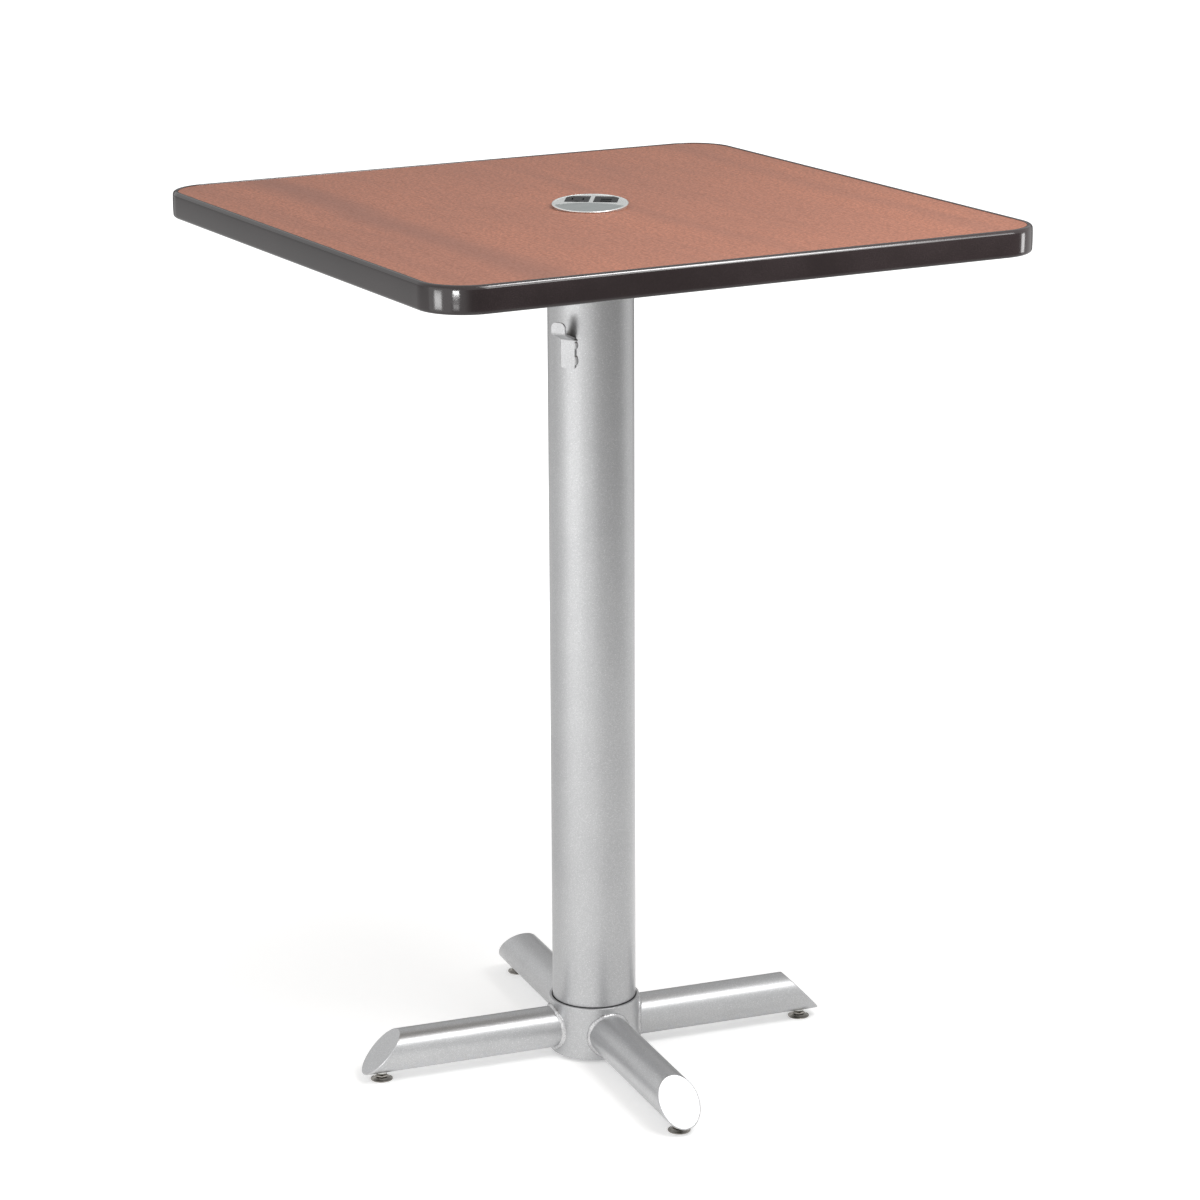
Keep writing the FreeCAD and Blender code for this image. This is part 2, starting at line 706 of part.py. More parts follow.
weld_ring = cut(cone(S["column_od"] / 2.0, S["column_od"] / 2.0 + S["plate_weld"], S["plate_weld"],
                     z=PLATE_UNDER - S["plate_weld"]),
                cylinder(S["column_od"] / 2.0, S["plate_weld"] + 2.0,
                         z=PLATE_UNDER - S["plate_weld"] - 1.0), "weld_ring")
node(weld_ring, "plate_weld")

column = new_body("column")
sk = new_sketch(column, "XY_Plane")
sketch_circle(sk, S["column_od"] / 2.0)
sketch_circle(sk, S["column_od"] / 2.0 - S["column_wall"])
pad(column, sk, PLATE_UNDER - S["column_bottom"])
place(column, z=S["column_bottom"])
node(column, "column_tube")

foot_plate = new_body("foot_plate")
sk = new_sketch(foot_plate, "XY_Plane")
sketch_circle(sk, S["column_od"] / 2.0 - S["column_wall"] - 0.02)
sketch_circle(sk, S["bolt_hole"])
pad(foot_plate, sk, S["foot_plate"])
place(foot_plate, z=S["column_bottom"])
node(foot_plate, "column_foot_plate")

collar = new_body("collar")
sk = new_sketch(collar, "XY_Plane")
sketch_circle(sk, S["collar_od"] / 2.0)
sketch_circle(sk, S["collar_id"] / 2.0)
pad(collar, sk, S["collar_height"])
doc.recompute()
rims = []
for i, edge in enumerate(collar.Shape.Edges, start=1):
    if edge.Curve.TypeId == "Part::GeomCircle" and abs(edge.Curve.Radius - S["collar_od"].value / 2.0) < 1e-6:
        rims.append("Edge%d" % i)
collar_wall = collar.Tip
eased = collar.newObject("PartDesign::Fillet", "collar_eased")
eased.Base = (collar_wall, rims)
eased.Radius = 0.8
place(collar, z=S["collar_bottom"])
node(collar, "base_collar")

collar_floor = new_body("collar_floor_body")
sk = new_sketch(collar_floor, "XY_Plane")
sketch_circle(sk, S["collar_id"] / 2.0 - 0.02)
sketch_circle(sk, S["bolt_hole"])
pad(collar_floor, sk, S["collar_floor"])
place(collar_floor, z=S["column_bottom"] - S["collar_floor"])
node(collar_floor, "collar_floor")

washer_low = S["column_bottom"] - S["collar_floor"] - S["washer_thickness"]
washer = cut(cylinder(S["washer_radius"], S["washer_thickness"], z=washer_low),
             cylinder(S["bolt_hole"], S["washer_thickness"] + 2.0, z=washer_low - 1.0), "washer")
node(washer, "bolt_washer")

bolt = fuse([hexagon(S["bolt_flats"], S["bolt_head"], z=washer_low - S["bolt_head"]),
             cylinder(S["bolt_radius"], S["bolt_tip"] - washer_low + 1.0, z=washer_low - 1.0)], "bolt")
node(bolt, "centre_bolt")

nut_low = S["column_bottom"] + S["foot_plate"]
nut = cut(hexagon(S["bolt_flats"], S["nut_height"], z=nut_low),
          cylinder(S["bolt_radius"] + 0.02, S["nut_height"] + 2.0, z=nut_low - 1.0), "nut")
node(nut, "weld_nut")

# ---------------------------------------------------------------------------
# Cross base: four tubes coped to the collar, cut on the slant and closed by
# a plate, each with a threaded bush and a levelling glide
# ---------------------------------------------------------------------------
LEGS = (("right", 0.0), ("back", 90.0), ("left", 180.0), ("front", 270.0))
reach, theta = S["leg_reach"], S["leg_cut"]
inner_radius = S["leg_od"] / 2.0 - S["leg_wall"]


def aim(obj, angle, z=0.0):
    """Turn a piece made along +X to its leg's direction."""
    turn = S["base_yaw"] + angle
    zs = Size.of(z)
    obj.Placement = PLACE(V(0, 0, zs.value), ROT(V(0, 0, 1), turn.value))
    if "Dims." in zs.text:
        obj.setExpression("Placement.Base.z", zs.text)
    return obj


def along_x(radius, length, start=0.0):
    return cylinder(radius, length, x=start, axis=(0, 1, 0), angle=90.0)


def slant_box(thickness, back):
    """Box whose outer faces are parallel to the slanted cut face."""
    return box(thickness, 80.0, 140.0,
               x=reach - back * cosd(theta) + 70.0 * sind(theta), y=-40.0,
               z=-back * sind(theta) - 70.0 * cosd(theta), axis=(0, 1, 0), angle=-theta)


weld_solids, bush_solids = [], []
for name, angle in LEGS:
    tube = cut(along_x(S["leg_od"] / 2.0, reach + S["leg_od"]),
               along_x(inner_radius, reach + S["leg_od"] + 2.0, -1.0))
    tools = fuse([cylinder(S["collar_od"] / 2.0, 120.0, z=-60.0),
                  slant_box(Size.of(90.0), Size.of(0.0)),
                  cylinder(S["insert_radius"] + 0.02, 30.0, x=S["glide_radius"], z=-40.0)])
    leg = cut(tube, tools, "leg_tube_" + name)
    node(aim(leg, angle, S["leg_axis"]), "leg_" + name)

    cap = common(along_x(inner_radius - 0.02, reach + S["leg_od"]),
                 slant_box(S["cap_thickness"], S["cap_thickness"]), "cap_" + name)
    node(aim(cap, angle, S["leg_axis"]), "leg_cap_" + name)

    bead_shell = cut(cylinder(S["collar_od"] / 2.0 + S["leg_weld"], 80.0, z=-40.0),
                     cylinder(S["collar_od"] / 2.0, 100.0, z=-50.0))
    bead = cut(common(bead_shell, along_x(S["leg_od"] / 2.0 + S["leg_weld"], 40.0, 35.0)),
               along_x(S["leg_od"] / 2.0, 60.0, 30.0), "bead_" + name)
    weld_solids.append(aim(bead, angle, S["leg_axis"]))

    bush = cut(cylinder(S["insert_radius"], S["insert_top"] - S["insert_bottom"], x=S["glide_radius"]),
               cylinder(S["stem_radius"] + S["stem_gap"], 60.0, x=S["glide_radius"], z=-20.0), "bush_" + name)
    bush_solids.append(aim(bush, angle, S["insert_bottom"]))

    foot = new_body("foot_" + name)
    sk = new_sketch(foot, "XZ_Plane")
    gap = 0.2
    sketch_polygon(sk, [
        (0.0, 0.0), (S["foot_radius"] - 0.6, 0.0), (S["foot_radius"], 0.6), (S["foot_radius"], S["foot_rim"]),
        (S["foot_neck"], S["foot_height"]), (S["stem_radius"] + 0.1, S["foot_height"]),
        (S["stem_radius"] + 0.1, S["foot_height"] - 0.9),
        (S["stem_head"] + 0.1, S["foot_height"] - 0.9),
        (S["stem_head"] + 0.1, S["stem_bottom"] - gap), (0.0, S["stem_bottom"] - gap),
    ])
    revolve(foot, sk)
    turn = S["base_yaw"] + angle
    place(foot, x=S["glide_radius"] * cosd(turn), y=S["glide_radius"] * sind(turn),
          axis=(0, 0, 1), angle=turn)
    node(foot, "glide_foot_" + name)

    stem = new_body("stem_" + name)
    sk = new_sketch(stem, "XZ_Plane")
    sketch_polygon(sk, [
        (0.0, S["stem_bottom"]), (S["stem_head"], S["stem_bottom"]),
        (S["stem_head"], S["foot_height"] - 1.2), (S["stem_radius"], S["foot_height"] - 1.2),
        (S["stem_radius"], S["stem_top"] - 1.0), (S["stem_radius"] - 1.0, S["stem_top"]), (0.0, S["stem_top"]),
    ])
    revolve(stem, sk)
    sk = new_sketch(stem, "XY_Plane", S["hex_bottom"])
    across = S["hex_flats"] / (2.0 * math.cos(math.pi / 6))
    sketch_polygon(sk, [(across * cosd(60.0 * k + 15.0), across * sind(60.0 * k + 15.0)) for k in range(6)])
    pad(stem, sk, S["hex_top"] - S["hex_bottom"])
    place(stem, x=S["glide_radius"] * cosd(turn), y=S["glide_radius"] * sind(turn),
          axis=(0, 0, 1), angle=turn)
    node(stem, "glide_stem_" + name)

node(group(weld_solids, "leg_weld_group"), "leg_welds")
node(group(bush_solids, "bush_group"), "glide_bushes")

# ---------------------------------------------------------------------------
# Bag hook: a strip bent out and up from a small plate welded to the column
# ---------------------------------------------------------------------------
hook = new_body("hook")
face, metal = S["hook_face"], S["hook_metal"]
tip_in = S["hook_tip"]
knee = S["hook_high"]
half = S["hook_strip"] / 2.0
# side profile of the arm, in the upright plane through the column axis
sk = new_sketch(hook, "XZ_Plane")
rise = S["hook_top"] - knee
sketch_polygon(sk, [
    (face - metal, knee - 12.0), (face, knee - 12.0), (face, knee - 2.6),
    (face + 1.2, knee - 1.3), (tip_in - 1.6, knee + 5.6), (tip_in + metal - 0.9, knee + 7.3),
    (tip_in + metal, knee + 9.4), (tip_in + metal, knee + rise), (tip_in, knee + rise),
    (tip_in, knee + 10.4), (tip_in - 1.2, knee + 8.5), (face + 0.2, knee + 1.5),
    (face - metal + 0.9, knee + 0.4), (face - metal, knee - 1.4),
])
pad(hook, sk, S["hook_strip"], midplane=True)
doc.recompute()
# the tip's two upper corners
corners = []
for i, edge in enumerate(hook.Shape.Edges, start=1):
    c = edge.BoundBox
    if (c.ZMin > S["hook_top"].value - 1e-6 and c.YMax - c.YMin < 1e-6
            and c.XMax - c.XMin > metal.value - 1e-6):
        corners.append("Edge%d" % i)
assert len(corners) == 2, corners
strip = hook.Tip
tip = hook.newObject("PartDesign::Fillet", "tip_corners")
tip.Base = (strip, corners)
tip.Radius = bind(tip, "Radius", S["hook_round"])
doc.recompute()
# plate, then the column's own cylinder taken out of its back
sk = new_sketch(hook, "YZ_Plane", S["column_od"] / 2.0 - 2.0)
sketch_polygon(sk, [
    (-half + 1.2, S["hook_low"]), (half - 1.2, S["hook_low"]), (half, S["hook_low"] + 1.2),
    (half, knee - 3.0), (-half, knee - 3.0), (-half, S["hook_low"] + 1.2),
])
pad(hook, sk, face - S["column_od"] / 2.0 + 2.0)
doc.recompute()
vol = hook.Shape.Volume
sk = new_sketch(hook, "XY_Plane", S["hook_high"] + 60.0)
sketch_circle(sk, S["column_od"] / 2.0 + 0.02)
pocket(hook, sk, 200.0)
vol = volume_drops(hook, vol, "column seat in the hook plate")
hook.Placement = PLACE(V(0, 0, 0), ROT(V(0, 0, 1), S["hook_yaw"].value))
node(hook, "bag_hook")

# short tack welds along both upright edges of the plate
tacks = []
for sign in (-1, 1):
    for z0, tall in ((S["hook_low"] + 4.5, 9.5), (S["hook_low"] + 23.5, 7.0), (S["hook_low"] + 32.2, 3.0)):
        bead = cylinder(2.6, tall, x=50.0, y=sign * (half + 0.1), z=z0)
        tack = cut(bead, fuse([cylinder(S["column_od"] / 2.0 + 0.01, 80.0, z=z0 - 20.0),
                               box(30.0, S["hook_strip"] + 0.02, 60.0, x=30.0, y=-half - 0.01, z=z0 - 30.0)]))
        tack.Placement = PLACE(V(0, 0, 0), ROT(V(0, 0, 1), S["hook_yaw"].value))
        tacks.append(tack)
node(group(tacks, "tack_group"), "hook_welds")

# ---------------------------------------------------------------------------
# Check every object, then write one file per sub-part
# ---------------------------------------------------------------------------
doc.recompute()
bad = [o.Name for o in doc.Objects if "Invalid" in o.State or "Error" in o.State]
if bad:
    raise RuntimeError("failed objects: " + ", ".join(bad))
for label, obj in nodes.items():
    shape = obj.Shape
    if shape.isNull() or not shape.isValid() or not shape.Solids:
        raise RuntimeError("bad shape: " + label)
for label, obj in nodes.items():
    obj.Shape.exportStep("parts/%s.step" % label)
    bb = obj.Shape.BoundBox
    print("%-22s solids %d  vol %10.1f  x %.2f %.2f  y %.2f %.2f  z %.2f %.2f" % (
        label, len(obj.Shape.Solids), obj.Shape.Volume, bb.XMin, bb.XMax, bb.YMin, bb.YMax, bb.ZMin, bb.ZMax))
print("nodes", len(nodes))
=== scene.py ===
import json
import math

import bmesh
import bpy
import numpy as np
from mathutils import Matrix, Vector


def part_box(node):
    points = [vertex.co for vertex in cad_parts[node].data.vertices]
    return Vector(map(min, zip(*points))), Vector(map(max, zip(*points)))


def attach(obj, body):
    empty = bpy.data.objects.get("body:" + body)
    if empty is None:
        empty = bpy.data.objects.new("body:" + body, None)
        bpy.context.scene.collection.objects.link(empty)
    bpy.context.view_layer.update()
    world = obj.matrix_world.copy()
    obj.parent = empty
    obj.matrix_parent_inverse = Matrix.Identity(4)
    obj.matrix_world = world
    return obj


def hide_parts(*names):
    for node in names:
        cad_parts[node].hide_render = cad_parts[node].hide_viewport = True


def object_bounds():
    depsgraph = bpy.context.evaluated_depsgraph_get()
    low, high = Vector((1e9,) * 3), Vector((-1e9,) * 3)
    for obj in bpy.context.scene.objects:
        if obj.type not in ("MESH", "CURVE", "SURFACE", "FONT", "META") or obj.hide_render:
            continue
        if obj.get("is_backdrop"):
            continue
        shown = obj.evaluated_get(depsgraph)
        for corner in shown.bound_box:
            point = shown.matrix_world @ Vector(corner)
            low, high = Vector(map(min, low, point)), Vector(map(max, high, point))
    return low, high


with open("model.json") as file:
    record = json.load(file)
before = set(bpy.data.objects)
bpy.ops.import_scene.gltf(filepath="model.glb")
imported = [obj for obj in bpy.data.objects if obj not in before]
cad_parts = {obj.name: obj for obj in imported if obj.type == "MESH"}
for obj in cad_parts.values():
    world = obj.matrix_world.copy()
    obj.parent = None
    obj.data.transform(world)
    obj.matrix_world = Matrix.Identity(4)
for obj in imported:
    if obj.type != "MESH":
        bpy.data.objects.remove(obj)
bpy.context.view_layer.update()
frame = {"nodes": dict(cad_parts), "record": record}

scene = bpy.context.scene
nodes = frame["nodes"]
MM = 0.001

# ---------------------------------------------------------------------------
# Camera: the photograph's view, worked out from the edges of the top, the
# column, the collar, the legs and the feet.
# ---------------------------------------------------------------------------
az, pitch, roll = math.radians(28.563), math.radians(15.465), math.radians(-0.256)
forward = Vector((math.sin(az) * math.cos(pitch), math.cos(az) * math.cos(pitch), -math.sin(pitch)))
right0 = Vector((math.cos(az), -math.sin(az), 0.0))
up0 = right0.cross(forward)
right = math.cos(roll) * right0 + math.sin(roll) * up0
up = -math.sin(roll) * right0 + math.cos(roll) * up0
cam_data = bpy.data.cameras.new("photo_camera")
cam_data.sensor_fit = "HORIZONTAL"
cam_data.sensor_width = 36.0
cam_data.lens = 111.4508
cam_data.clip_start, cam_data.clip_end = 0.05, 200.0
cam = bpy.data.objects.new("photo_camera", cam_data)
scene.collection.objects.link(cam)
turn = Matrix((right, up, -forward)).transposed().to_4x4()
turn.translation = Vector((-2.028278, -3.745359, 1.748154))
cam.matrix_world = turn
scene.camera = cam

scene.view_settings.view_transform = "Standard"
scene.view_settings.look = "None"
scene.view_settings.exposure = 0.0
scene.view_settings.gamma = 1.0


# ---------------------------------------------------------------------------
# Material helpers
# ---------------------------------------------------------------------------
class Tree:
    """A node tree with short names for the nodes that these materials use."""

    def __init__(self, name):
        self.mat = bpy.data.materials.new(name)
        self.mat.use_nodes = True
        self.nt = self.mat.node_tree
        self.nt.nodes.clear()
        self.out = self.nt.nodes.new("ShaderNodeOutputMaterial")
        self.bsdf = self.nt.nodes.new("ShaderNodeBsdfPrincipled")
        self.link(self.bsdf.outputs["BSDF"], self.out.inputs["Surface"])
        self.place = self.nt.nodes.new("ShaderNodeTexCoord").outputs["Object"]

    def link(self, a, b):
        self.nt.links.new(a, b)

    def put(self, value, socket):
        if isinstance(value, bpy.types.NodeSocket):
            self.link(value, socket)
        else:
            socket.default_value = value

    def fixed(self, **values):
        names = {"metallic": "Metallic", "roughness": "Roughness", "ior": "IOR", "coat": "Coat Weight",
                 "coat_roughness": "Coat Roughness", "specular": "Specular IOR Level",
                 "anisotropic": "Anisotropic", "sheen": "Sheen Weight"}
        for key, value in values.items():
            self.bsdf.inputs[names[key]].default_value = value

    def mapped(self, scale, offset=(0, 0, 0), rotation=(0, 0, 0), vector=None):
        n = self.nt.nodes.new("ShaderNodeMapping")
        self.link(vector or self.place, n.inputs["Vector"])
        n.inputs["Scale"].default_value = scale
        n.inputs["Location"].default_value = offset
        n.inputs["Rotation"].default_value = rotation
        return n.outputs["Vector"]

    def noise(self, scale, detail=3.0, rough=0.5, vector=None, distortion=0.0):
        n = self.nt.nodes.new("ShaderNodeTexNoise")
        self.link(vector or self.place, n.inputs["Vector"])
        n.inputs["Scale"].default_value = scale
        n.inputs["Detail"].default_value = detail
        n.inputs["Roughness"].default_value = rough
        n.inputs["Distortion"].default_value = distortion
        return n.outputs["Fac"]

    def cells(self, scale, vector=None, output="Distance", feature="F1", randomness=1.0):
        n = self.nt.nodes.new("ShaderNodeTexVoronoi")
        n.feature = feature
        self.link(vector or self.place, n.inputs["Vector"])
        n.inputs["Scale"].default_value = scale
        n.inputs["Randomness"].default_value = randomness
        return n.outputs[output]

    def wave(self, scale, vector=None, distortion=0.0, detail=2.0, detail_scale=1.0, direction="X"):
        n = self.nt.nodes.new("ShaderNodeTexWave")
        n.bands_direction = direction
        self.link(vector or self.place, n.inputs["Vector"])
        n.inputs["Scale"].default_value = scale
        n.inputs["Distortion"].default_value = distortion
        n.inputs["Detail"].default_value = detail
        n.inputs["Detail Scale"].default_value = detail_scale
        return n.outputs["Fac"]

    def ramp(self, fac, stops):
        n = self.nt.nodes.new("ShaderNodeValToRGB")
        self.link(fac, n.inputs["Fac"])
        els = n.color_ramp.elements
        while len(els) < len(stops):
            els.new(0.5)
        for e, (pos, col) in zip(els, stops):
            e.position = pos
            e.color = (col, col, col, 1) if isinstance(col, (int, float)) else (*col, 1)
        return n.outputs["Color"]

    def range(self, value, a, b, c, d, smooth=False):
        n = self.nt.nodes.new("ShaderNodeMapRange")
        n.interpolation_type = "SMOOTHSTEP" if smooth else "LINEAR"
        self.link(value, n.inputs["Value"])
        for key, v in zip(("From Min", "From Max", "To Min", "To Max"), (a, b, c, d)):
            self.put(v, n.inputs[key])
        return n.outputs["Result"]

    def math(self, op, a, b=0.0, c=0.0):
        n = self.nt.nodes.new("ShaderNodeMath")
        n.operation = op
        self.put(a, n.inputs[0])
        self.put(b, n.inputs[1])
        if op == "MULTIPLY_ADD":
            self.put(c, n.inputs[2])
        return n.outputs[0]

    def mix(self, fac, a, b, kind="MIX"):
        n = self.nt.nodes.new("ShaderNodeMix")
        n.data_type = "RGBA"
        n.blend_type = kind
        n.clamp_factor = True
        self.put(fac, n.inputs[0])
        for value, socket in ((a, n.inputs[6]), (b, n.inputs[7])):
            if isinstance(value, tuple):
                socket.default_value = (*value, 1)
            else:
                self.link(value, socket)
        return n.outputs[2]

    def axis(self, name, vector=None):
        n = self.nt.nodes.new("ShaderNodeSeparateXYZ")
        self.link(vector or self.place, n.inputs[0])
        return n.outputs[name]

    def bump(self, height, strength, distance, after=None):
        n = self.nt.nodes.new("ShaderNodeBump")
        self.link(height, n.inputs["Height"])
        n.inputs["Strength"].default_value = strength
        n.inputs["Distance"].default_value = distance
        if after is not None:
            self.link(after, n.inputs["Normal"])
        return n.outputs["Normal"]

    def done(self, colour, roughness=None, normal=None):
        self.link(colour, self.bsdf.inputs["Base Color"])
        if roughness is not None:
            self.link(roughness, self.bsdf.inputs["Roughness"])
        if normal is not None:
            self.link(normal, self.bsdf.inputs["Normal"])
        return self.mat


def scaled(colour, k):
    return tuple(min(1.0, c * k) for c in colour)


def cherry_laminate():
    t = Tree("cherry_laminate")
    t.fixed(specular=0.22, ior=1.45)
    warp = t.noise(2.2, 2.0, 0.5)
    warped = t.nt.nodes.new("ShaderNodeVectorMath")
    warped.operation = "MULTIPLY_ADD"
    spread = t.nt.nodes.new("ShaderNodeCombineXYZ")
    t.link(warp, spread.inputs[0])
    t.link(spread.outputs[0], warped.inputs[0])
    warped.inputs[1].default_value = (0.07, 0, 0)
    t.link(t.place, warped.inputs[2])
    grain = warped.outputs[0]
    broad = t.noise(11.0, 2.0, 0.5, t.mapped((1.0, 0.14, 1.0), (3.1, 0.4, 0.0), vector=grain), 0.2)
    streak = t.noise(34.0, 3.0, 0.55, t.mapped((1.0, 0.07, 1.0), (0.7, 0.0, 0.0), vector=grain), 0.3)
    across = t.axis("X", grain)
    shade = None
    for at, half, strength in ((-0.335, 0.030, 0.30), (-0.245, 0.045, 0.80), (0.048, 0.022, 0.30),
                               (0.150, 0.020, 0.22), (0.318, 0.030, 0.35)):
        away = t.math("ABSOLUTE", t.math("SUBTRACT", across, at + 0.035))
        one = t.range(away, 0.0, half, strength, 0.0, True)
        shade = one if shade is None else t.math("MAXIMUM", shade, one)
    fibre = t.noise(420.0, 3.0, 0.6, t.mapped((1.0, 0.035, 1.0), vector=grain))
    pores = t.noise(820.0, 1.0, 0.5, t.mapped((1.0, 0.05, 1.0), (0.2, 0.0, 0.0), vector=grain))
    mottle = t.noise(7.0, 3.0, 0.55)
    speck = t.noise(900.0, 2.0, 0.6)
    grit = t.noise(270.0, 2.0, 0.7)
    light, mid, dark = (0.580, 0.224, 0.136), (0.516, 0.205, 0.130), (0.320, 0.148, 0.110)
    col = t.mix(t.range(broad, 0.36, 0.64, 0.0, 1.0, True), light, mid)
    col = t.mix(t.range(streak, 0.50, 0.74, 0.0, 0.30, True), col, dark)
    col = t.mix(shade, col, dark)
    col = t.mix(t.range(mottle, 0.40, 0.70, 0.0, 0.20, True), col, (0.34, 0.158, 0.112))
    col = t.mix(t.range(fibre, 0.30, 0.70, 0.0, 0.24), col, (0.25, 0.095, 0.060))
    col = t.mix(t.range(pores, 0.64, 0.76, 0.0, 0.50, True), col, (0.12, 0.045, 0.026))
    col = t.mix(t.range(grit, 0.40, 0.60, 0.0, 0.74), col, (0.235, 0.088, 0.055))
    col = t.mix(t.range(speck, 0.40, 0.75, 0.0, 0.30), col, (0.64, 0.30, 0.20))
    rough = t.math("ADD", t.range(speck, 0.3, 0.7, 0.40, 0.47), t.range(pores, 0.62, 0.76, 0.0, 0.12))
    height = t.math("SUBTRACT", t.range(speck, 0.3, 0.7, 0.0, 0.5), t.range(pores, 0.62, 0.74, 0.0, 1.0))
    return t.done(col, rough, t.bump(height, 0.22, 0.00006))


def black_vinyl():
    t = Tree("black_vinyl")
    t.fixed(ior=1.5, specular=0.5)
    cloud = t.noise(9.0, 3.0, 0.55)
    fine = t.noise(1500.0, 2.0, 0.55)
    pull = t.noise(160.0, 2.0, 0.5, t.mapped((0.06, 0.06, 1.0)))
    col = t.mix(t.range(cloud, 0.35, 0.68, 0.0, 1.0, True), (0.0115, 0.0080, 0.0082), (0.0170, 0.0122, 0.0125))
    col = t.mix(t.range(fine, 0.45, 0.8, 0.0, 0.4), col, (0.034, 0.025, 0.026))
    # butt joint of the band, in the middle of the far side
    x, y = t.axis("X"), t.axis("Y")
    seam = t.math("MULTIPLY", t.range(t.math("ABSOLUTE", t.math("SUBTRACT", x, 0.118)), 0.00010, 0.00030, 1.0, 0.0),
                  t.math("GREATER_THAN", y, 0.30))
    col = t.mix(seam, col, (0.003, 0.002, 0.002))
    rough = t.math("ADD", t.range(cloud, 0.3, 0.7, 0.095, 0.125), t.range(fine, 0.3, 0.7, -0.01, 0.03))
    height = t.math("SUBTRACT", t.math("MULTIPLY_ADD", fine, 0.35, t.math("MULTIPLY", pull, 0.6)), seam)
    return t.done(col, rough, t.bump(height, 0.10, 0.00008))


def silver_paint(name="silver_paint", lift=1.0, rough0=0.33, lumps=0.0):
    t = Tree(name)
    t.fixed(metallic=0.92, ior=1.5)
    peel = t.noise(520.0, 2.0, 0.5)
    flake = t.cells(1500.0, output="Color")
    fl = t.axis("X", flake)
    grit = t.noise(760.0, 3.0, 0.65)
    cloud = t.noise(11.0, 3.0, 0.5)
    a, b = scaled((0.470, 0.472, 0.478), lift), scaled((0.525, 0.528, 0.532), lift)
    col = t.mix(t.range(cloud, 0.3, 0.7, 0.0, 1.0), a, b)
    col = t.mix(t.range(grit, 0.34, 0.66, 0.0, 0.55), col, scaled((0.375, 0.378, 0.385), lift))
    col = t.mix(t.range(fl, 0.80, 1.0, 0.0, 0.55), col, scaled((0.74, 0.74, 0.75), lift))
    z, x, y = t.axis("Z"), t.axis("X"), t.axis("Y")
    spread = t.math("SQRT", t.math("ADD", t.math("MULTIPLY", x, x), t.math("MULTIPLY", y, y)))
    # painted shade: a dark ring painted on the column just at the collar's top edge, where the gap between column and
    # collar lies in shadow
    collar_gap_shade = t.math("MULTIPLY", t.range(t.math("ABSOLUTE", t.math("SUBTRACT", z, 0.0706)), 0.0003, 0.0013, 1.0, 0.0),
                  t.range(spread, 0.0520, 0.0524, 1.0, 0.0))
    col = t.mix(t.math("MULTIPLY", collar_gap_shade, 0.9), col, (0.05, 0.05, 0.052))
    rough = t.math("ADD", t.range(grit, 0.3, 0.7, rough0 - 0.02, rough0 + 0.08), t.range(fl, 0.7, 1.0, 0.0, 0.05))
    normal = t.bump(t.math("MULTIPLY_ADD", fl, 0.12, peel), 0.20, 0.00016)
    if lumps:
        normal = t.bump(t.noise(230.0, 3.0, 0.6), lumps, 0.0008, normal)
    return t.done(col, rough, normal)


def weld_metal():
    t = Tree("weld_metal")
    t.fixed(metallic=0.95, ior=1.5)
    grit = t.noise(700.0, 3.0, 0.6)
    cloud = t.noise(90.0, 2.0, 0.5)
    spat = t.cells(420.0)
    col = t.mix(t.range(cloud, 0.3, 0.7, 0.0, 1.0), (0.44, 0.44, 0.445), (0.60, 0.60, 0.605))
    col = t.mix(t.range(grit, 0.5, 0.75, 0.0, 0.5), col, (0.30, 0.30, 0.31))
    rough = t.range(grit, 0.3, 0.7, 0.20, 0.32)
    return t.done(col, rough, t.bump(t.math("MULTIPLY_ADD", spat, -0.7, grit), 0.45, 0.0004))


def satin_zinc():
    t = Tree("satin_zinc")
    t.fixed(metallic=0.97, ior=1.5)
    brush = t.noise(900.0, 2.0, 0.6, t.mapped((1.0, 0.05, 1.0), rotation=(0, 0, math.radians(-34.9))))
    cloud = t.noise(60.0, 2.0, 0.5)
    col = t.mix(t.range(brush, 0.3, 0.7, 0.0, 1.0), (0.80, 0.82, 0.81), (0.90, 0.92, 0.91))
    col = t.mix(t.range(cloud, 0.35, 0.7, 0.0, 0.25), col, (0.68, 0.70, 0.70))
    rough = t.math("ADD", t.range(brush, 0.3, 0.7, 0.22, 0.30), t.range(cloud, 0.4, 0.7, 0.0, 0.05))
    return t.done(col, rough, t.bump(brush, 0.12, 0.00005))


def grey_panel():
    t = Tree("grey_panel")
    t.fixed(metallic=0.55, ior=1.5)
    grain = t.noise(1300.0, 2.0, 0.6)
    cloud = t.noise(45.0, 2.0, 0.5)
    col = t.mix(t.range(cloud, 0.35, 0.65, 0.0, 1.0), (0.335, 0.365, 0.360), (0.385, 0.410, 0.405))
    col = t.mix(t.range(grain, 0.4, 0.75, 0.0, 0.5), col, (0.26, 0.28, 0.28))
    rough = t.range(grain, 0.3, 0.7, 0.34, 0.44)
    return t.done(col, rough, t.bump(grain, 0.2, 0.00006))


def black_plastic(name, gloss, warm=0.0, shine=0.5):
    t = Tree(name)
    t.fixed(ior=1.5, specular=shine)
    fine = t.noise(1400.0, 2.0, 0.55)
    cloud = t.noise(40.0, 2.0, 0.5)
    low, high = (0.010 + warm, 0.011, 0.0115), (0.020 + warm, 0.021, 0.0215)
    col = t.mix(t.range(cloud, 0.3, 0.7, 0.0, 1.0), low, high)
    col = t.mix(t.range(fine, 0.5, 0.8, 0.0, 0.4), col, (0.045, 0.045, 0.047))
    rough = t.range(fine, 0.3, 0.7, gloss, gloss + 0.08)
    return t.done(col, rough, t.bump(fine, 0.14, 0.00006))


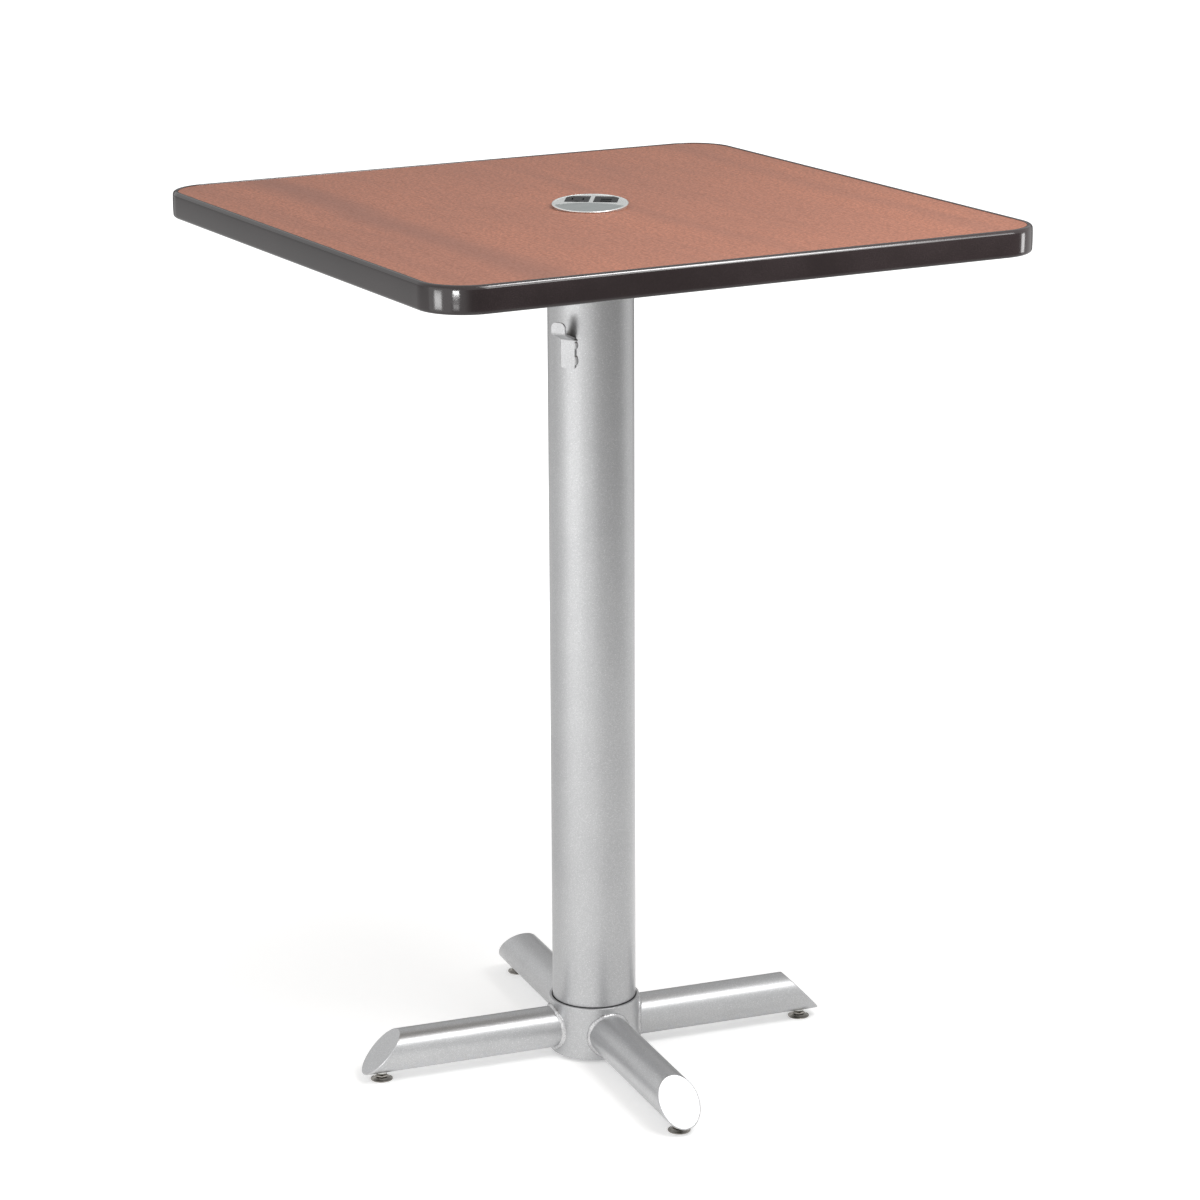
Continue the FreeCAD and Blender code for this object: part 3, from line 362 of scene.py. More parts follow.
def black_steel():
    t = Tree("black_steel")
    t.fixed(ior=1.5, metallic=0.1)
    peel = t.noise(700.0, 3.0, 0.6)
    cloud = t.noise(18.0, 3.0, 0.55)
    col = t.mix(t.range(cloud, 0.3, 0.7, 0.0, 1.0), (0.020, 0.020, 0.021), (0.034, 0.034, 0.035))
    col = t.mix(t.range(peel, 0.55, 0.75, 0.0, 0.5), col, (0.065, 0.065, 0.067))
    rough = t.range(peel, 0.3, 0.7, 0.38, 0.52)
    return t.done(col, rough, t.bump(peel, 0.3, 0.0002))


def particleboard():
    t = Tree("particleboard")
    t.fixed(ior=1.45, specular=0.3)
    chips = t.cells(240.0, t.mapped((1.0, 1.0, 2.6)), "Color")
    fines = t.noise(900.0, 3.0, 0.6)
    col = t.ramp(t.axis("X", chips), [(0.0, (0.36, 0.24, 0.13)), (0.5, (0.56, 0.42, 0.26)), (1.0, (0.70, 0.56, 0.38))])
    col = t.mix(t.range(fines, 0.4, 0.75, 0.0, 0.6), col, (0.30, 0.19, 0.10))
    rough = t.range(fines, 0.3, 0.7, 0.75, 0.92)
    return t.done(col, rough, t.bump(t.axis("Y", chips), 0.4, 0.0004))


def backer():
    t = Tree("backer")
    t.fixed(ior=1.45, specular=0.35)
    sand = t.noise(700.0, 2.0, 0.6, t.mapped((1.0, 0.02, 1.0)))
    cloud = t.noise(8.0, 4.0, 0.6)
    fine = t.noise(1100.0, 2.0, 0.6)
    col = t.mix(t.range(cloud, 0.3, 0.7, 0.0, 1.0), (0.235, 0.185, 0.145), (0.315, 0.255, 0.205))
    col = t.mix(t.range(sand, 0.45, 0.75, 0.0, 0.35), col, (0.17, 0.13, 0.10))
    col = t.mix(t.range(fine, 0.5, 0.8, 0.0, 0.25), col, (0.42, 0.36, 0.30))
    rough = t.range(cloud, 0.3, 0.7, 0.60, 0.74)
    return t.done(col, rough, t.bump(t.math("ADD", sand, fine), 0.18, 0.0001))


def zinc_steel():
    t = Tree("zinc_steel")
    t.fixed(metallic=1.0, ior=1.5)
    grain = t.noise(900.0, 3.0, 0.6)
    cloud = t.noise(120.0, 2.0, 0.5)
    col = t.mix(t.range(cloud, 0.3, 0.7, 0.0, 1.0), (0.50, 0.505, 0.49), (0.66, 0.655, 0.62))
    col = t.mix(t.range(grain, 0.5, 0.8, 0.0, 0.5), col, (0.36, 0.36, 0.37))
    rough = t.range(grain, 0.3, 0.7, 0.20, 0.36)
    return t.done(col, rough, t.bump(grain, 0.18, 0.00012))


def nickel_glide():
    t = Tree("nickel_glide")
    t.fixed(metallic=1.0, ior=1.5)
    grain = t.noise(1200.0, 2.0, 0.6)
    z = t.axis("Z")
    scuff = t.math("MULTIPLY", t.noise(500.0, 4.0, 0.7, t.mapped((1.0, 1.0, 4.0))),
                   t.range(z, 0.0, 0.0016, 1.0, 0.0))
    col = t.mix(t.range(grain, 0.3, 0.7, 0.0, 1.0), (0.30, 0.285, 0.262), (0.42, 0.40, 0.37))
    col = t.mix(t.range(scuff, 0.32, 0.60, 0.0, 0.8), col, (0.12, 0.11, 0.10))
    rough = t.math("ADD", t.range(grain, 0.3, 0.7, 0.16, 0.24), t.range(scuff, 0.3, 0.6, 0.0, 0.35))
    return t.done(col, rough, t.bump(grain, 0.08, 0.00006))


MATS = {
    "cherry_laminate": cherry_laminate(),
    "black_vinyl": black_vinyl(),
    "silver_paint": silver_paint(),
    "weld_metal": weld_metal(),
    "satin_zinc": satin_zinc(),
    "grey_panel": grey_panel(),
    "black_socket": black_plastic("black_socket", 0.26, 0.0, 0.06),
    "black_plastic": black_plastic("black_plastic", 0.34),
    "black_steel": black_steel(),
    "particleboard": particleboard(),
    "backer": backer(),
    "zinc_steel": zinc_steel(),
    "nickel_glide": nickel_glide(),
}
slot_of = {s["node"]: s["material_slot"] for s in frame["record"]["subparts"]}
for name, obj in nodes.items():
    mat = MATS[slot_of[name]]
    if not obj.material_slots:
        obj.data.materials.append(mat)
    for s in obj.material_slots:
        s.material = mat


# ---------------------------------------------------------------------------
# Mesh helpers
# ---------------------------------------------------------------------------
def piece(name, verts, faces, slot, body="table", stands_for=(), sharp=38.0, mat=None):
    """A mesh piece in the CAD frame (verts in mm), smooth with crisp edges."""
    me = bpy.data.meshes.new(name)
    me.from_pydata([tuple(float(c) * MM for c in v) for v in verts], [], faces)
    me.validate()
    bm = bmesh.new()
    bm.from_mesh(me)
    bmesh.ops.recalc_face_normals(bm, faces=bm.faces)
    for f in bm.faces:
        f.smooth = True
    limit = math.radians(sharp)
    for e in bm.edges:
        if len(e.link_faces) == 2 and e.calc_face_angle(0.0) > limit:
            e.smooth = False
    bm.to_mesh(me)
    bm.free()
    ob = bpy.data.objects.new(name, me)
    scene.collection.objects.link(ob)
    me.materials.append(mat or MATS[slot])
    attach(ob, body)
    if stands_for:
        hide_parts(*stands_for)
    return ob


def sheet_faces(rows, cols, wrap_rows=False, base=0):
    """Quads of a rows x cols grid whose columns wrap round."""
    out = []
    for i in range(rows if wrap_rows else rows - 1):
        a, b = i * cols, ((i + 1) % rows) * cols
        for j in range(cols):
            k = (j + 1) % cols
            out.append((base + a + j, base + a + k, base + b + k, base + b + j))
    return out


def turned(profile, segments=96):
    """Closed solid turned about Z from a profile of (r, z) that starts and ends on the axis."""
    verts, faces, ring = [], [], []
    for r, z in profile:
        if r <= 1e-6:
            ring.append([len(verts)])
            verts.append((0.0, 0.0, z))
        else:
            ring.append(list(range(len(verts), len(verts) + segments)))
            for k in range(segments):
                a = 2 * math.pi * k / segments
                verts.append((r * math.cos(a), r * math.sin(a), z))
    for a, b in zip(ring, ring[1:]):
        for k in range(segments):
            n = (k + 1) % segments
            if len(a) == 1 and len(b) == 1:
                continue
            if len(a) == 1:
                faces.append((a[0], b[n], b[k]))
            elif len(b) == 1:
                faces.append((a[k], a[n], b[0]))
            else:
                faces.append((a[k], a[n], b[n], b[k]))
    return verts, faces


def radial(rows, segments):
    """Closed solid from rows of (z, function of angle giving r), with flat ends."""
    verts, faces = [], []
    for z, f in rows:
        for k in range(segments):
            a = 2 * math.pi * k / segments
            r = f(a)
            verts.append((r * math.cos(a), r * math.sin(a), z))
    faces += sheet_faces(len(rows), segments)
    low, high = len(verts), len(verts) + 1
    verts += [(0.0, 0.0, rows[0][0]), (0.0, 0.0, rows[-1][0])]
    top = (len(rows) - 1) * segments
    for k in range(segments):
        n = (k + 1) % segments
        faces.append((low, n, k))
        faces.append((high, top + k, top + n))
    return verts, faces


def moved(verts, x=0.0, y=0.0, z=0.0, angle=0.0):
    c, s = math.cos(angle), math.sin(angle)
    return [(x + c * v[0] - s * v[1], y + s * v[0] + c * v[1], z + v[2]) for v in verts]


def joined(parts):
    verts, faces = [], []
    for v, f in parts:
        base = len(verts)
        verts += v
        faces += [tuple(base + i for i in q) for q in f]
    return verts, faces


def wobble(seed, n, periods):
    """A smooth closed random line of n values, about -1 to 1."""
    rng = np.random.default_rng(seed)
    t = np.linspace(0.0, 2 * np.pi, n, endpoint=False)
    out = np.zeros(n)
    for p in periods:
        out += np.sin(p * t + rng.uniform(0, 2 * np.pi)) * rng.uniform(0.6, 1.0)
    return out / len(periods) ** 0.5


# ---------------------------------------------------------------------------
# Edge band: one swept moulding with a slightly crowned face, rounded arrises,
# a crest that stands just over the laminate and its barb in the core's groove
# ---------------------------------------------------------------------------
SIDE, CORNER, THICK, ARRIS, WALL, CROWN, LIP = 381.0, 56.0, 31.0, 4.0, 6.8, 0.22, 0.7


def band_profile():
    """(offset from the outer face, height above the underside), anticlockwise."""
    pts = [(-WALL, 0.35), (-WALL + 0.35, 0.0), (-ARRIS - 0.6, 0.0)]
    for i in range(9):
        q = math.radians(90.0 - 90.0 * i / 8)
        pts.append((-ARRIS + (ARRIS - CROWN) * math.cos(q), ARRIS - ARRIS * math.sin(q)))
    flat = THICK - 2 * ARRIS
    for i in range(1, 12):
        z = ARRIS + flat * i / 12
        pts.append((-CROWN * ((z - THICK / 2) / (flat / 2)) ** 2, z))
    for i in range(9):
        q = math.radians(90.0 * i / 8)
        pts.append((-ARRIS + (ARRIS - CROWN) * math.cos(q), THICK - ARRIS + ARRIS * math.sin(q)))
    pts.append((-ARRIS - 0.6, THICK))
    for i in range(7):
        q = math.radians(90.0 + 90.0 * i / 6)
        pts.append((-WALL + LIP + LIP * math.cos(q), THICK - LIP + LIP * math.sin(q)))
    pts += [(-WALL, 16.0), (-WALL - 8.6, 16.0), (-WALL - 9.0, 15.5), (-WALL - 9.0, 14.5), (-WALL - 8.6, 14.0), (-WALL, 14.0)]
    return pts


def band_path():
    """Points and outward normals of the rounded square, anticlockwise."""
    out = []
    reach = SIDE - CORNER
    for k in range(4):
        turn_k = math.radians(90.0 * k)
        c, q = math.cos(turn_k), math.sin(turn_k)
        for along in (-reach + 0.4, -reach + 4.0, -reach + 40.0, 0.0, reach - 40.0, reach - 4.0, reach - 0.4):
            out.append(((SIDE * c - along * q, SIDE * q + along * c), (c, q)))
        for i in range(29):
            a = turn_k + math.radians(90.0 * i / 28)
            cx, cy = reach * c - reach * q, reach * q + reach * c
            n = (math.cos(a), math.sin(a))
            out.append(((cx + CORNER * n[0], cy + CORNER * n[1]), n))
    return out


profile, path = band_profile(), band_path()
v, f = [], []
for (px, py), (nx, ny) in path:
    for off, z in profile:
        v.append((px + nx * off, py + ny * off, 1042.0 - THICK + z))
f = sheet_faces(len(path), len(profile), wrap_rows=True)
band = piece("edge_band_moulding", v, f, "black_vinyl", stands_for=["edge_band"], sharp=30)

# ---------------------------------------------------------------------------
# Legs: tubes with a ground, rounded slant end, end plates with their ground
# weld, and the rippled beads round the collar
# ---------------------------------------------------------------------------
BASE_YAW = math.radians(-7.5)
LEGS = (("right", 0.0), ("back", 90.0), ("left", 180.0), ("front", 270.0))
AXIS_Z, R_OUT, R_IN, REACH, SLANT, COLLAR = 34.9, 25.4, 23.0, 276.0, math.radians(43.0), 55.0
tan_s, cos_s, sin_s = math.tan(SLANT), math.cos(SLANT), math.sin(SLANT)


def to_frame(local, angle):
    """Leg frame (out, across, up from the tube's axis) to the CAD frame."""
    local = np.asarray(local, float)
    c, s = math.cos(angle), math.sin(angle)
    out = np.empty_like(local)
    out[..., 0] = c * local[..., 0] - s * local[..., 1]
    out[..., 1] = s * local[..., 0] + c * local[..., 1]
    out[..., 2] = local[..., 2] + AXIS_Z
    return out.reshape(-1, 3)


def leg_tube(angle, n=160):
    t = np.linspace(0, 2 * np.pi, n, endpoint=False)
    normal = np.stack([np.zeros(n), np.sin(t), np.cos(t)], 1)
    plane = np.array([cos_s, 0.0, sin_s])
    edge = np.stack([REACH - R_OUT * np.cos(t) * tan_s, R_OUT * np.sin(t), R_OUT * np.cos(t)], 1)
    along = np.stack([R_OUT * np.sin(t) * tan_s, R_OUT * np.cos(t), -R_OUT * np.sin(t)], 1)
    along /= np.linalg.norm(along, axis=1)[:, None]
    a = np.cross(normal, along)
    a *= -np.sign(a[:, :1])
    b = np.cross(plane, along)
    b *= -np.sign(np.sum(b * normal, 1))[:, None]
    phi = np.arccos(np.clip(normal @ plane, -1, 1))
    rho = np.minimum(1.6, 2.5 / np.tan(phi / 2))[:, None]
    d = rho * np.tan(phi / 2)[:, None]
    mid = normal + plane
    centre = edge - rho * mid / (np.linalg.norm(mid, axis=1) * np.cos(phi / 2))[:, None]
    rows = []
    start = np.sqrt(COLLAR ** 2 - (R_OUT * np.sin(t)) ** 2)
    last = (edge + d * a)[:, 0]
    for f in (0.0, 0.02, 0.2, 0.4, 0.6, 0.8, 0.95, 0.99):
        x = start + (last - start) * f
        rows.append(np.stack([x, R_OUT * np.sin(t), R_OUT * np.cos(t)], 1))
    steps = 6
    for i in range(steps + 1):
        w = i / steps
        n1 = normal * (np.sin((1 - w) * phi) / np.sin(phi))[:, None] + plane * (np.sin(w * phi) / np.sin(phi))[:, None]
        rows.append(centre + rho * n1)
    inner = np.stack([REACH - R_IN * np.cos(t) * tan_s, R_IN * np.sin(t), R_IN * np.cos(t)], 1)
    rows.append(rows[-1] * 0.5 + inner * 0.5)
    rows.append(inner)
    rows.append(inner - np.array([8.0, 0, 0]))
    rows.append(np.stack([np.sqrt(COLLAR ** 2 - (R_IN * np.sin(t)) ** 2), R_IN * np.sin(t), R_IN * np.cos(t)], 1))
    grid = np.array(rows)
    return to_frame(grid, angle), sheet_faces(len(rows), n, wrap_rows=True)


def leg_cap(angle, seed, n=160):
    t = np.linspace(0, 2 * np.pi, n, endpoint=False)
    ex, ey = np.array([0.0, 1.0, 0.0]), np.array([-sin_s, 0.0, cos_s])
    plane, mid = np.array([cos_s, 0.0, sin_s]), np.array([REACH, 0.0, 0.0])
    dirs = R_IN * (np.sin(t)[:, None] * ex + (np.cos(t) / cos_s)[:, None] * ey)
    rip = 0.75 + 0.25 * wobble(seed, n, (31, 37, 44, 9))
    rows = []
    bumps = ((0.0, 0.0), (0.25, 0.0), (0.5, 0.0), (0.75, 0.0), (0.88, 0.0), (0.93, 0.01), (0.96, 0.04),
             (0.985, 0.07), (1.01, 0.07), (1.03, 0.02), (1.035, -0.3))
    for s, h in bumps[1:]:
        rows.append(mid + dirs * s + plane * (h * rip if h > 0 else np.full(n, h))[:, None])
    rows.append(mid + dirs * 0.985 - plane * 0.5)
    rows.append(mid + dirs * 0.985 - plane * 3.0)
    rows.append(mid + dirs * 0.4 - plane * 3.0)
    grid = np.array(rows)
    verts = list(map(tuple, grid.reshape(-1, 3)))
    faces = sheet_faces(len(rows), n)
    top, bottom = len(verts), len(verts) + 1
    verts += [tuple(mid), tuple(mid - plane * 3.0)]
    last = (len(rows) - 1) * n
    for k in range(n):
        m = (k + 1) % n
        faces.append((top, m, k))
        faces.append((bottom, last + k, last + m))
    return to_frame(np.array(verts), angle), faces


def leg_bead(angle, seed, n=420):
    t = np.linspace(0, 2 * np.pi, n, endpoint=False)
    x = np.sqrt(COLLAR ** 2 - (R_OUT * np.sin(t)) ** 2)
    root = np.stack([x, R_OUT * np.sin(t), R_OUT * np.cos(t)], 1)
    tangent = np.roll(root, -1, 0) - np.roll(root, 1, 0)
    tangent /= np.linalg.norm(tangent, axis=1)[:, None]
    tube_n = np.stack([np.zeros(n), np.sin(t), np.cos(t)], 1)
    wall_n = np.stack([x, R_OUT * np.sin(t), np.zeros(n)], 1) / COLLAR
    a = np.cross(wall_n, tangent)
    a *= np.sign(np.sum(a * tube_n, 1))[:, None]
    b = np.cross(tube_n, tangent)
    b *= np.sign(b[:, :1])
    ripples = 46
    phase = (t / (2 * np.pi) * ripples)
    size = 1.0 + 0.10 * wobble(seed, n, (3, 5, 8)) + 0.05 * wobble(seed + 1, n, (13, 17, 23))
    la = 3.45 * size * (1 + 0.05 * wobble(seed + 2, n, (7, 11)))
    lb = 3.35 * size * (1 + 0.05 * wobble(seed + 3, n, (6, 10)))
    rows = [root - 0.9 * wall_n - 0.9 * tube_n]
    arc = 12
    for i in range(arc + 1):
        q = i / arc * math.pi / 2
        skew = 0.55 * math.sin(2 * q)
        saw = np.mod(phase + skew + 0.15 * wobble(seed + 4, n, (19, 29)), 1.0)
        scallop = 1.0 + 0.085 * (1.0 - saw) ** 0.7 * math.sin(2 * q) ** 0.6 if 0 < i < arc else 1.0
        ca, cb = math.cos(q) ** 1.12, math.sin(q) ** 1.12
        row = root + a * (la * ca * scallop)[:, None] + b * (lb * cb * scallop)[:, None]
        row = row - wall_n * (0.35 * ca ** 4) - tube_n * (0.30 * cb ** 4)
        rows.append(row)
    grid = np.array(rows)
    return to_frame(grid, angle), sheet_faces(len(rows), n, wrap_rows=True)


tubes = {}
for i, (name, deg) in enumerate(LEGS):
    ang = BASE_YAW + math.radians(deg)
    v, f = leg_tube(ang)
    tubes[name] = piece("leg_tube_" + name, v, f, "silver_paint", stands_for=["leg_" + name], sharp=50)
    v, f = leg_cap(ang, 40 + i)
    piece("leg_end_plate_" + name, v, f, "silver_paint", stands_for=["leg_cap_" + name], sharp=50)
    v, f = leg_bead(ang, 10 * i + 3)
    piece("leg_weld_bead_" + name, v, f, "weld_metal", stands_for=["leg_welds"], sharp=60)


# ---------------------------------------------------------------------------
# Levelling glides: pressed foot, stem with spanner flats and a real thread
# ---------------------------------------------------------------------------
PITCH = 1.25


def hex_r(a, flats, turn_deg):
    k = math.radians(60.0)
    return flats / 2.0 / math.cos(((a - math.radians(turn_deg)) % k) - k / 2)


def thread_r(z, major, minor):
    depth = major - minor

    def f(a):
        p = (z / PITCH - a / (2 * math.pi)) % 1.0
        tri = 1.0 - abs(2 * p - 1.0)
        return minor + depth * min(1.0, max(0.0, (tri - 0.12) / 0.72))
    return f


def stem_rows(segments):
    rows = [(1.5, lambda a: 5.0), (1.7, lambda a: 5.35), (2.3, lambda a: 5.35), (2.4, lambda a: 5.2),
            (2.42, lambda a: 3.95), (3.88, lambda a: 3.95)]
    for z, cut in ((3.9, 6.25), (4.0, 6.55), (4.25, 7.1), (4.5, 9.0), (5.6, 9.0), (5.85, 7.1), (6.1, 6.55), (6.2, 6.25)):
        rows.append((z, lambda a, c=cut: min(hex_r(a, 13.0, 15.0), c)))
    rows.append((6.22, lambda a: 3.9))
    rows.append((6.6, lambda a: 3.45))
    z = 6.9
    while z < 21.9:
        rows.append((z, thread_r(z, 3.96, 3.36)))
        z += PITCH / 9.0
    rows += [(22.1, lambda a: 3.5), (22.75, lambda a: 2.9), (22.8, lambda a: 2.6)]
    return rows


STEM = radial(stem_rows(72), 72)
FOOT = turned([(0, 0), (4, 0.0), (9, 0.0), (12.6, 0.0), (12.95, 0.06), (13.25, 0.22), (13.45, 0.5), (13.5, 0.75),
               (13.46, 0.98), (13.25, 1.22), (12.6, 1.45), (11.6, 1.78), (10.6, 2.18), (9.8, 2.62), (9.1, 3.12),
               (8.7, 3.42), (8.3, 3.56), (7.9, 3.6), (5.0, 3.6), (4.35, 3.58), (4.12, 3.45), (4.1, 2.72), (5.5, 2.70),
               (5.5, 1.3), (0, 1.3)], 112)
for name, deg in LEGS:
    ang = BASE_YAW + math.radians(deg)
    x, y = 274.5 * math.cos(ang), 274.5 * math.sin(ang)
    piece("glide_base_" + name, moved(FOOT[0], x, y, 0.0, ang), FOOT[1], "nickel_glide", "glide_foot_" + name,
          ["glide_foot_" + name], sharp=40)
    piece("glide_thread_" + name, moved(STEM[0], x, y, 0.0, ang), STEM[1], "nickel_glide", "glide_stem_" + name,
          ["glide_stem_" + name], sharp=28)

# ---------------------------------------------------------------------------
# Bag hook welds: three run-together tacks on each upright edge of the plate
# ---------------------------------------------------------------------------
HOOK = math.radians(211.5)


def hook_bead(side, seed):
    """One upright edge's run of tacks; its outer toe wanders round the plate."""
    zs = np.linspace(864.0, 896.0, 90)
    rng = np.random.default_rng(seed)
    cols = 30
    verts, faces = [], []
    for z in zs:
        r = 0.55
        for zc, reach, tall in ((870.3, 5.4, 2.15), (888.0, 4.2, 2.0), (894.4, 2.0, 1.7)):
            q = (z - zc) / reach
            if abs(q) < 1:
                r = max(r, 0.55 + tall * math.sqrt(1 - q * q))
        ripple = 0.12 * (((z - 863.6) / 1.5) % 1.0)
        end = min(1.0, math.sqrt(max(0.01, 1 - ((z - 880.0) / 16.1) ** 2)) * 2.2)
        r = (r + ripple) * end
        for k in range(cols):
            a = 2 * math.pi * k / cols
            grow = 1.0 + 0.03 * rng.uniform(-1, 1)
            x_r = 50.1 + (0.95 * r if math.cos(a) < 0 else 3.2 * end) * math.cos(a)
            y_r = 9.0 - 0.4 + (1.0 * r * grow + 0.4) * math.sin(a)
            verts.append((x_r, side * y_r, z))
    faces += sheet_faces(len(zs), cols)
    low, high = len(verts), len(verts) + 1
    verts += [(50.1, side * 9.0, zs[0] - 0.1), (50.1, side * 9.0, zs[-1] + 0.1)]
    last = (len(zs) - 1) * cols
    for k in range(cols):
        n = (k + 1) % cols
        faces.append((low, n, k))
        faces.append((high, last + k, last + n))
    return moved(verts, angle=HOOK), faces


for side, label in ((1, "left"), (-1, "right")):
    v, f = hook_bead(side, 7 + side)
    piece("hook_weld_bead_" + label, v, f, "silver_paint", stands_for=["hook_welds"], sharp=60)

# ---------------------------------------------------------------------------
# Cross-recessed heads of the eight wood screws under the mounting plate, and
# the chamfered centre bolt
# ---------------------------------------------------------------------------
PLATE_UNDER = 1042.0 - 31.0 - 4.8


def recessed_head():
    prof = [(0, -3.2), (1.6, -3.17), (2.7, -3.02), (3.5, -2.72), (4.1, -2.3), (4.5, -1.8), (4.72, -1.2), (4.75, -0.5),
            (4.7, 0.0), (2.5, 0.0), (2.5, 17.5), (2.1, 18.3), (0, 21.8)]
    v, f = turned(prof, 48)
    me = bpy.data.meshes.new("head_blank")
    me.from_pydata([tuple(c * MM for c in p) for p in v], [], f)
    blank = bpy.data.objects.new("head_blank", me)
    scene.collection.objects.link(blank)
    cv, cf = [], []
    for q in (0, 1):
        base = len(cv)
        for z, lx, ly in ((-3.6, 2.75, 0.62), (-1.2, 1.0, 0.42)):
            for sx, sy in ((-1, -1), (1, -1), (1, 1), (-1, 1)):
                p = (sx * lx, sy * ly)
                if q:
                    p = (p[1], -p[0])
                cv.append((p[0] * MM, p[1] * MM, z * MM))
        cf += [tuple(base + i for i in face) for face in
               ((0, 1, 2, 3), (7, 6, 5, 4), (0, 4, 5, 1), (1, 5, 6, 2), (2, 6, 7, 3), (3, 7, 4, 0))]
        cm = bpy.data.meshes.new("cross_cut_%d" % q)
        cm.from_pydata(cv[base:], [], [tuple(i - base for i in face) for face in cf[-6:]])
        bm = bmesh.new()
        bm.from_mesh(cm)
        bmesh.ops.recalc_face_normals(bm, faces=bm.faces)
        bm.to_mesh(cm)
        bm.free()
        tool = bpy.data.objects.new("cross_cut_%d" % q, cm)
        scene.collection.objects.link(tool)
        mod = blank.modifiers.new("cross_%d" % q, "BOOLEAN")
        mod.operation, mod.solver, mod.object = "DIFFERENCE", "EXACT", tool
    bm = bmesh.new()
    bm.from_mesh(me)
    bmesh.ops.recalc_face_normals(bm, faces=bm.faces)
    bm.to_mesh(me)
    bm.free()
    bpy.context.view_layer.update()
    got = blank.evaluated_get(bpy.context.evaluated_depsgraph_get()).to_mesh()
    verts = [tuple(c / MM for c in vert.co) for vert in got.vertices]
    faces = [tuple(p.vertices) for p in got.polygons]
    for o in [blank] + [m.object for m in blank.modifiers]:
        bpy.data.objects.remove(o)
    return verts, faces


head = recessed_head()
heads = []
for k in range(8):
    a = math.radians(22.5 + 45.0 * k)
    heads.append((moved(head[0], 145.0 * math.cos(a), 145.0 * math.sin(a), PLATE_UNDER, a * 2.7 + k), head[1]))
v, f = joined(heads)
piece("mounting_screw_set", v, f, "zinc_steel", stands_for=["mounting_screws"], sharp=32)

lo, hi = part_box("centre_bolt")
bolt_low = lo.z / MM
rows = []
for z, cut in ((0.0, 8.6), (0.25, 9.0), (1.0, 10.6), (1.2, 20.0), (7.5, 20.0)):
    rows.append((bolt_low + z, lambda a, c=cut: min(hex_r(a, 18.0, 0.0), c)))
rows.append((bolt_low + 7.52, lambda a: 6.0))
rows.append((hi.z / MM - 1.0, lambda a: 6.0))
rows.append((hi.z / MM, lambda a: 5.2))
v, f = radial(rows, 96)
piece("centre_bolt_hex", v, f, "zinc_steel", stands_for=["centre_bolt"], sharp=30)

# ---------------------------------------------------------------------------
# Floor, light and surroundings
# ---------------------------------------------------------------------------
me = bpy.data.meshes.new("floor")
me.from_pydata([(-60, -60, 0), (60, -60, 0), (60, 60, 0), (-60, 60, 0)], [], [(0, 1, 2, 3)])
floor = bpy.data.objects.new("floor", me)
scene.collection.objects.link(floor)
fm = bpy.data.materials.new("floor_white")
fm.use_nodes = True
nt = fm.node_tree
nt.nodes.clear()
out = nt.nodes.new("ShaderNodeOutputMaterial")
dif = nt.nodes.new("ShaderNodeBsdfDiffuse")
glow = nt.nodes.new("ShaderNodeEmission")
lp = nt.nodes.new("ShaderNodeLightPath")
mul = nt.nodes.new("ShaderNodeMath")
mul.operation = "ADD"
nt.links.new(mul.outputs[0], glow.inputs["Strength"])


def f_math(op, a, b=0.0):
    n = nt.nodes.new("ShaderNodeMath")
    n.operation = op
    for value, socket in ((a, n.inputs[0]), (b, n.inputs[1])):
        if isinstance(value, bpy.types.NodeSocket):
            nt.links.new(value, socket)
        else:
            socket.default_value = value
    return n.outputs[0]


def f_step(value, a, b, c=0.0, d=1.0):
    n = nt.nodes.new("ShaderNodeMapRange")
    n.interpolation_type = "SMOOTHSTEP"
    nt.links.new(value, n.inputs["Value"])
    for key, v in zip(("From Min", "From Max", "To Min", "To Max"), (a, b, c, d)):
        n.inputs[key].default_value = v
    return n.outputs["Result"]


# painted reflections: for all rays but camera rays the floor is darkened to the right of the camera and
# far behind the table, and glows more or less by zone: this shows only in reflections and bounce light
where = nt.nodes.new("ShaderNodeSeparateXYZ")
nt.links.new(nt.nodes.new("ShaderNodeTexCoord").outputs["Object"], where.inputs[0])
fx, fy = where.outputs[0], where.outputs[1]
radius = f_math("SQRT", f_math("ADD", f_math("MULTIPLY", fx, fx), f_math("MULTIPLY", fy, fy)))
safe = f_math("MAXIMUM", radius, 0.001)


def zone(az_deg, a, b):
    c, q = math.cos(math.radians(az_deg)), math.sin(math.radians(az_deg))
    return f_step(f_math("DIVIDE", f_math("ADD", f_math("MULTIPLY", fx, c), f_math("MULTIPLY", fy, q)), safe), a, b)


right_dark = f_math("MULTIPLY", zone(-70, 0.62, 0.86), f_step(radius, 1.6, 4.4, 0.0, 0.68))
back_dark = f_math("MAXIMUM", f_math("MULTIPLY", zone(61, 0.72, 0.92), f_step(radius, 2.2, 6.0, 0.0, 0.80)),
                   f_math("MULTIPLY", zone(118, 0.80, 0.95), f_step(radius, 4.0, 12.0, 0.0, 0.40)))
seen_straight = lp.outputs["Is Camera Ray"]
seen_mirrored = f_math("SUBTRACT", 1.0, seen_straight)
glow_straight = f_math("MULTIPLY", seen_straight, f_step(radius, 0.30, 1.6, 0.36, 0.75))
# painted light: extra glow on the floor that only reflection and bounce rays see, varying with direction and distance
# from the table
glow_mirrored = f_math("ADD", f_step(radius, 0.30, 0.9, 0.33, 0.24),
                       f_math("MULTIPLY", zone(8, 0.75, 0.95), f_step(radius, 0.8, 2.6, 0.0, 0.12)))
glow_mirrored = f_math("ADD", glow_mirrored, f_math("MULTIPLY", zone(50, 0.76, 0.96), f_step(radius, 0.5, 4.0, 0.25, -0.22)))
glow_mirrored = f_math("ADD", glow_mirrored, f_math("MULTIPLY", zone(-158, 0.35, 0.98), f_step(radius, 0.2, 2.6, 0.12, 0.38)))
glow_mirrored = f_math("SUBTRACT", glow_mirrored, f_math("MULTIPLY", zone(-50, 0.60, 0.95), 0.17))
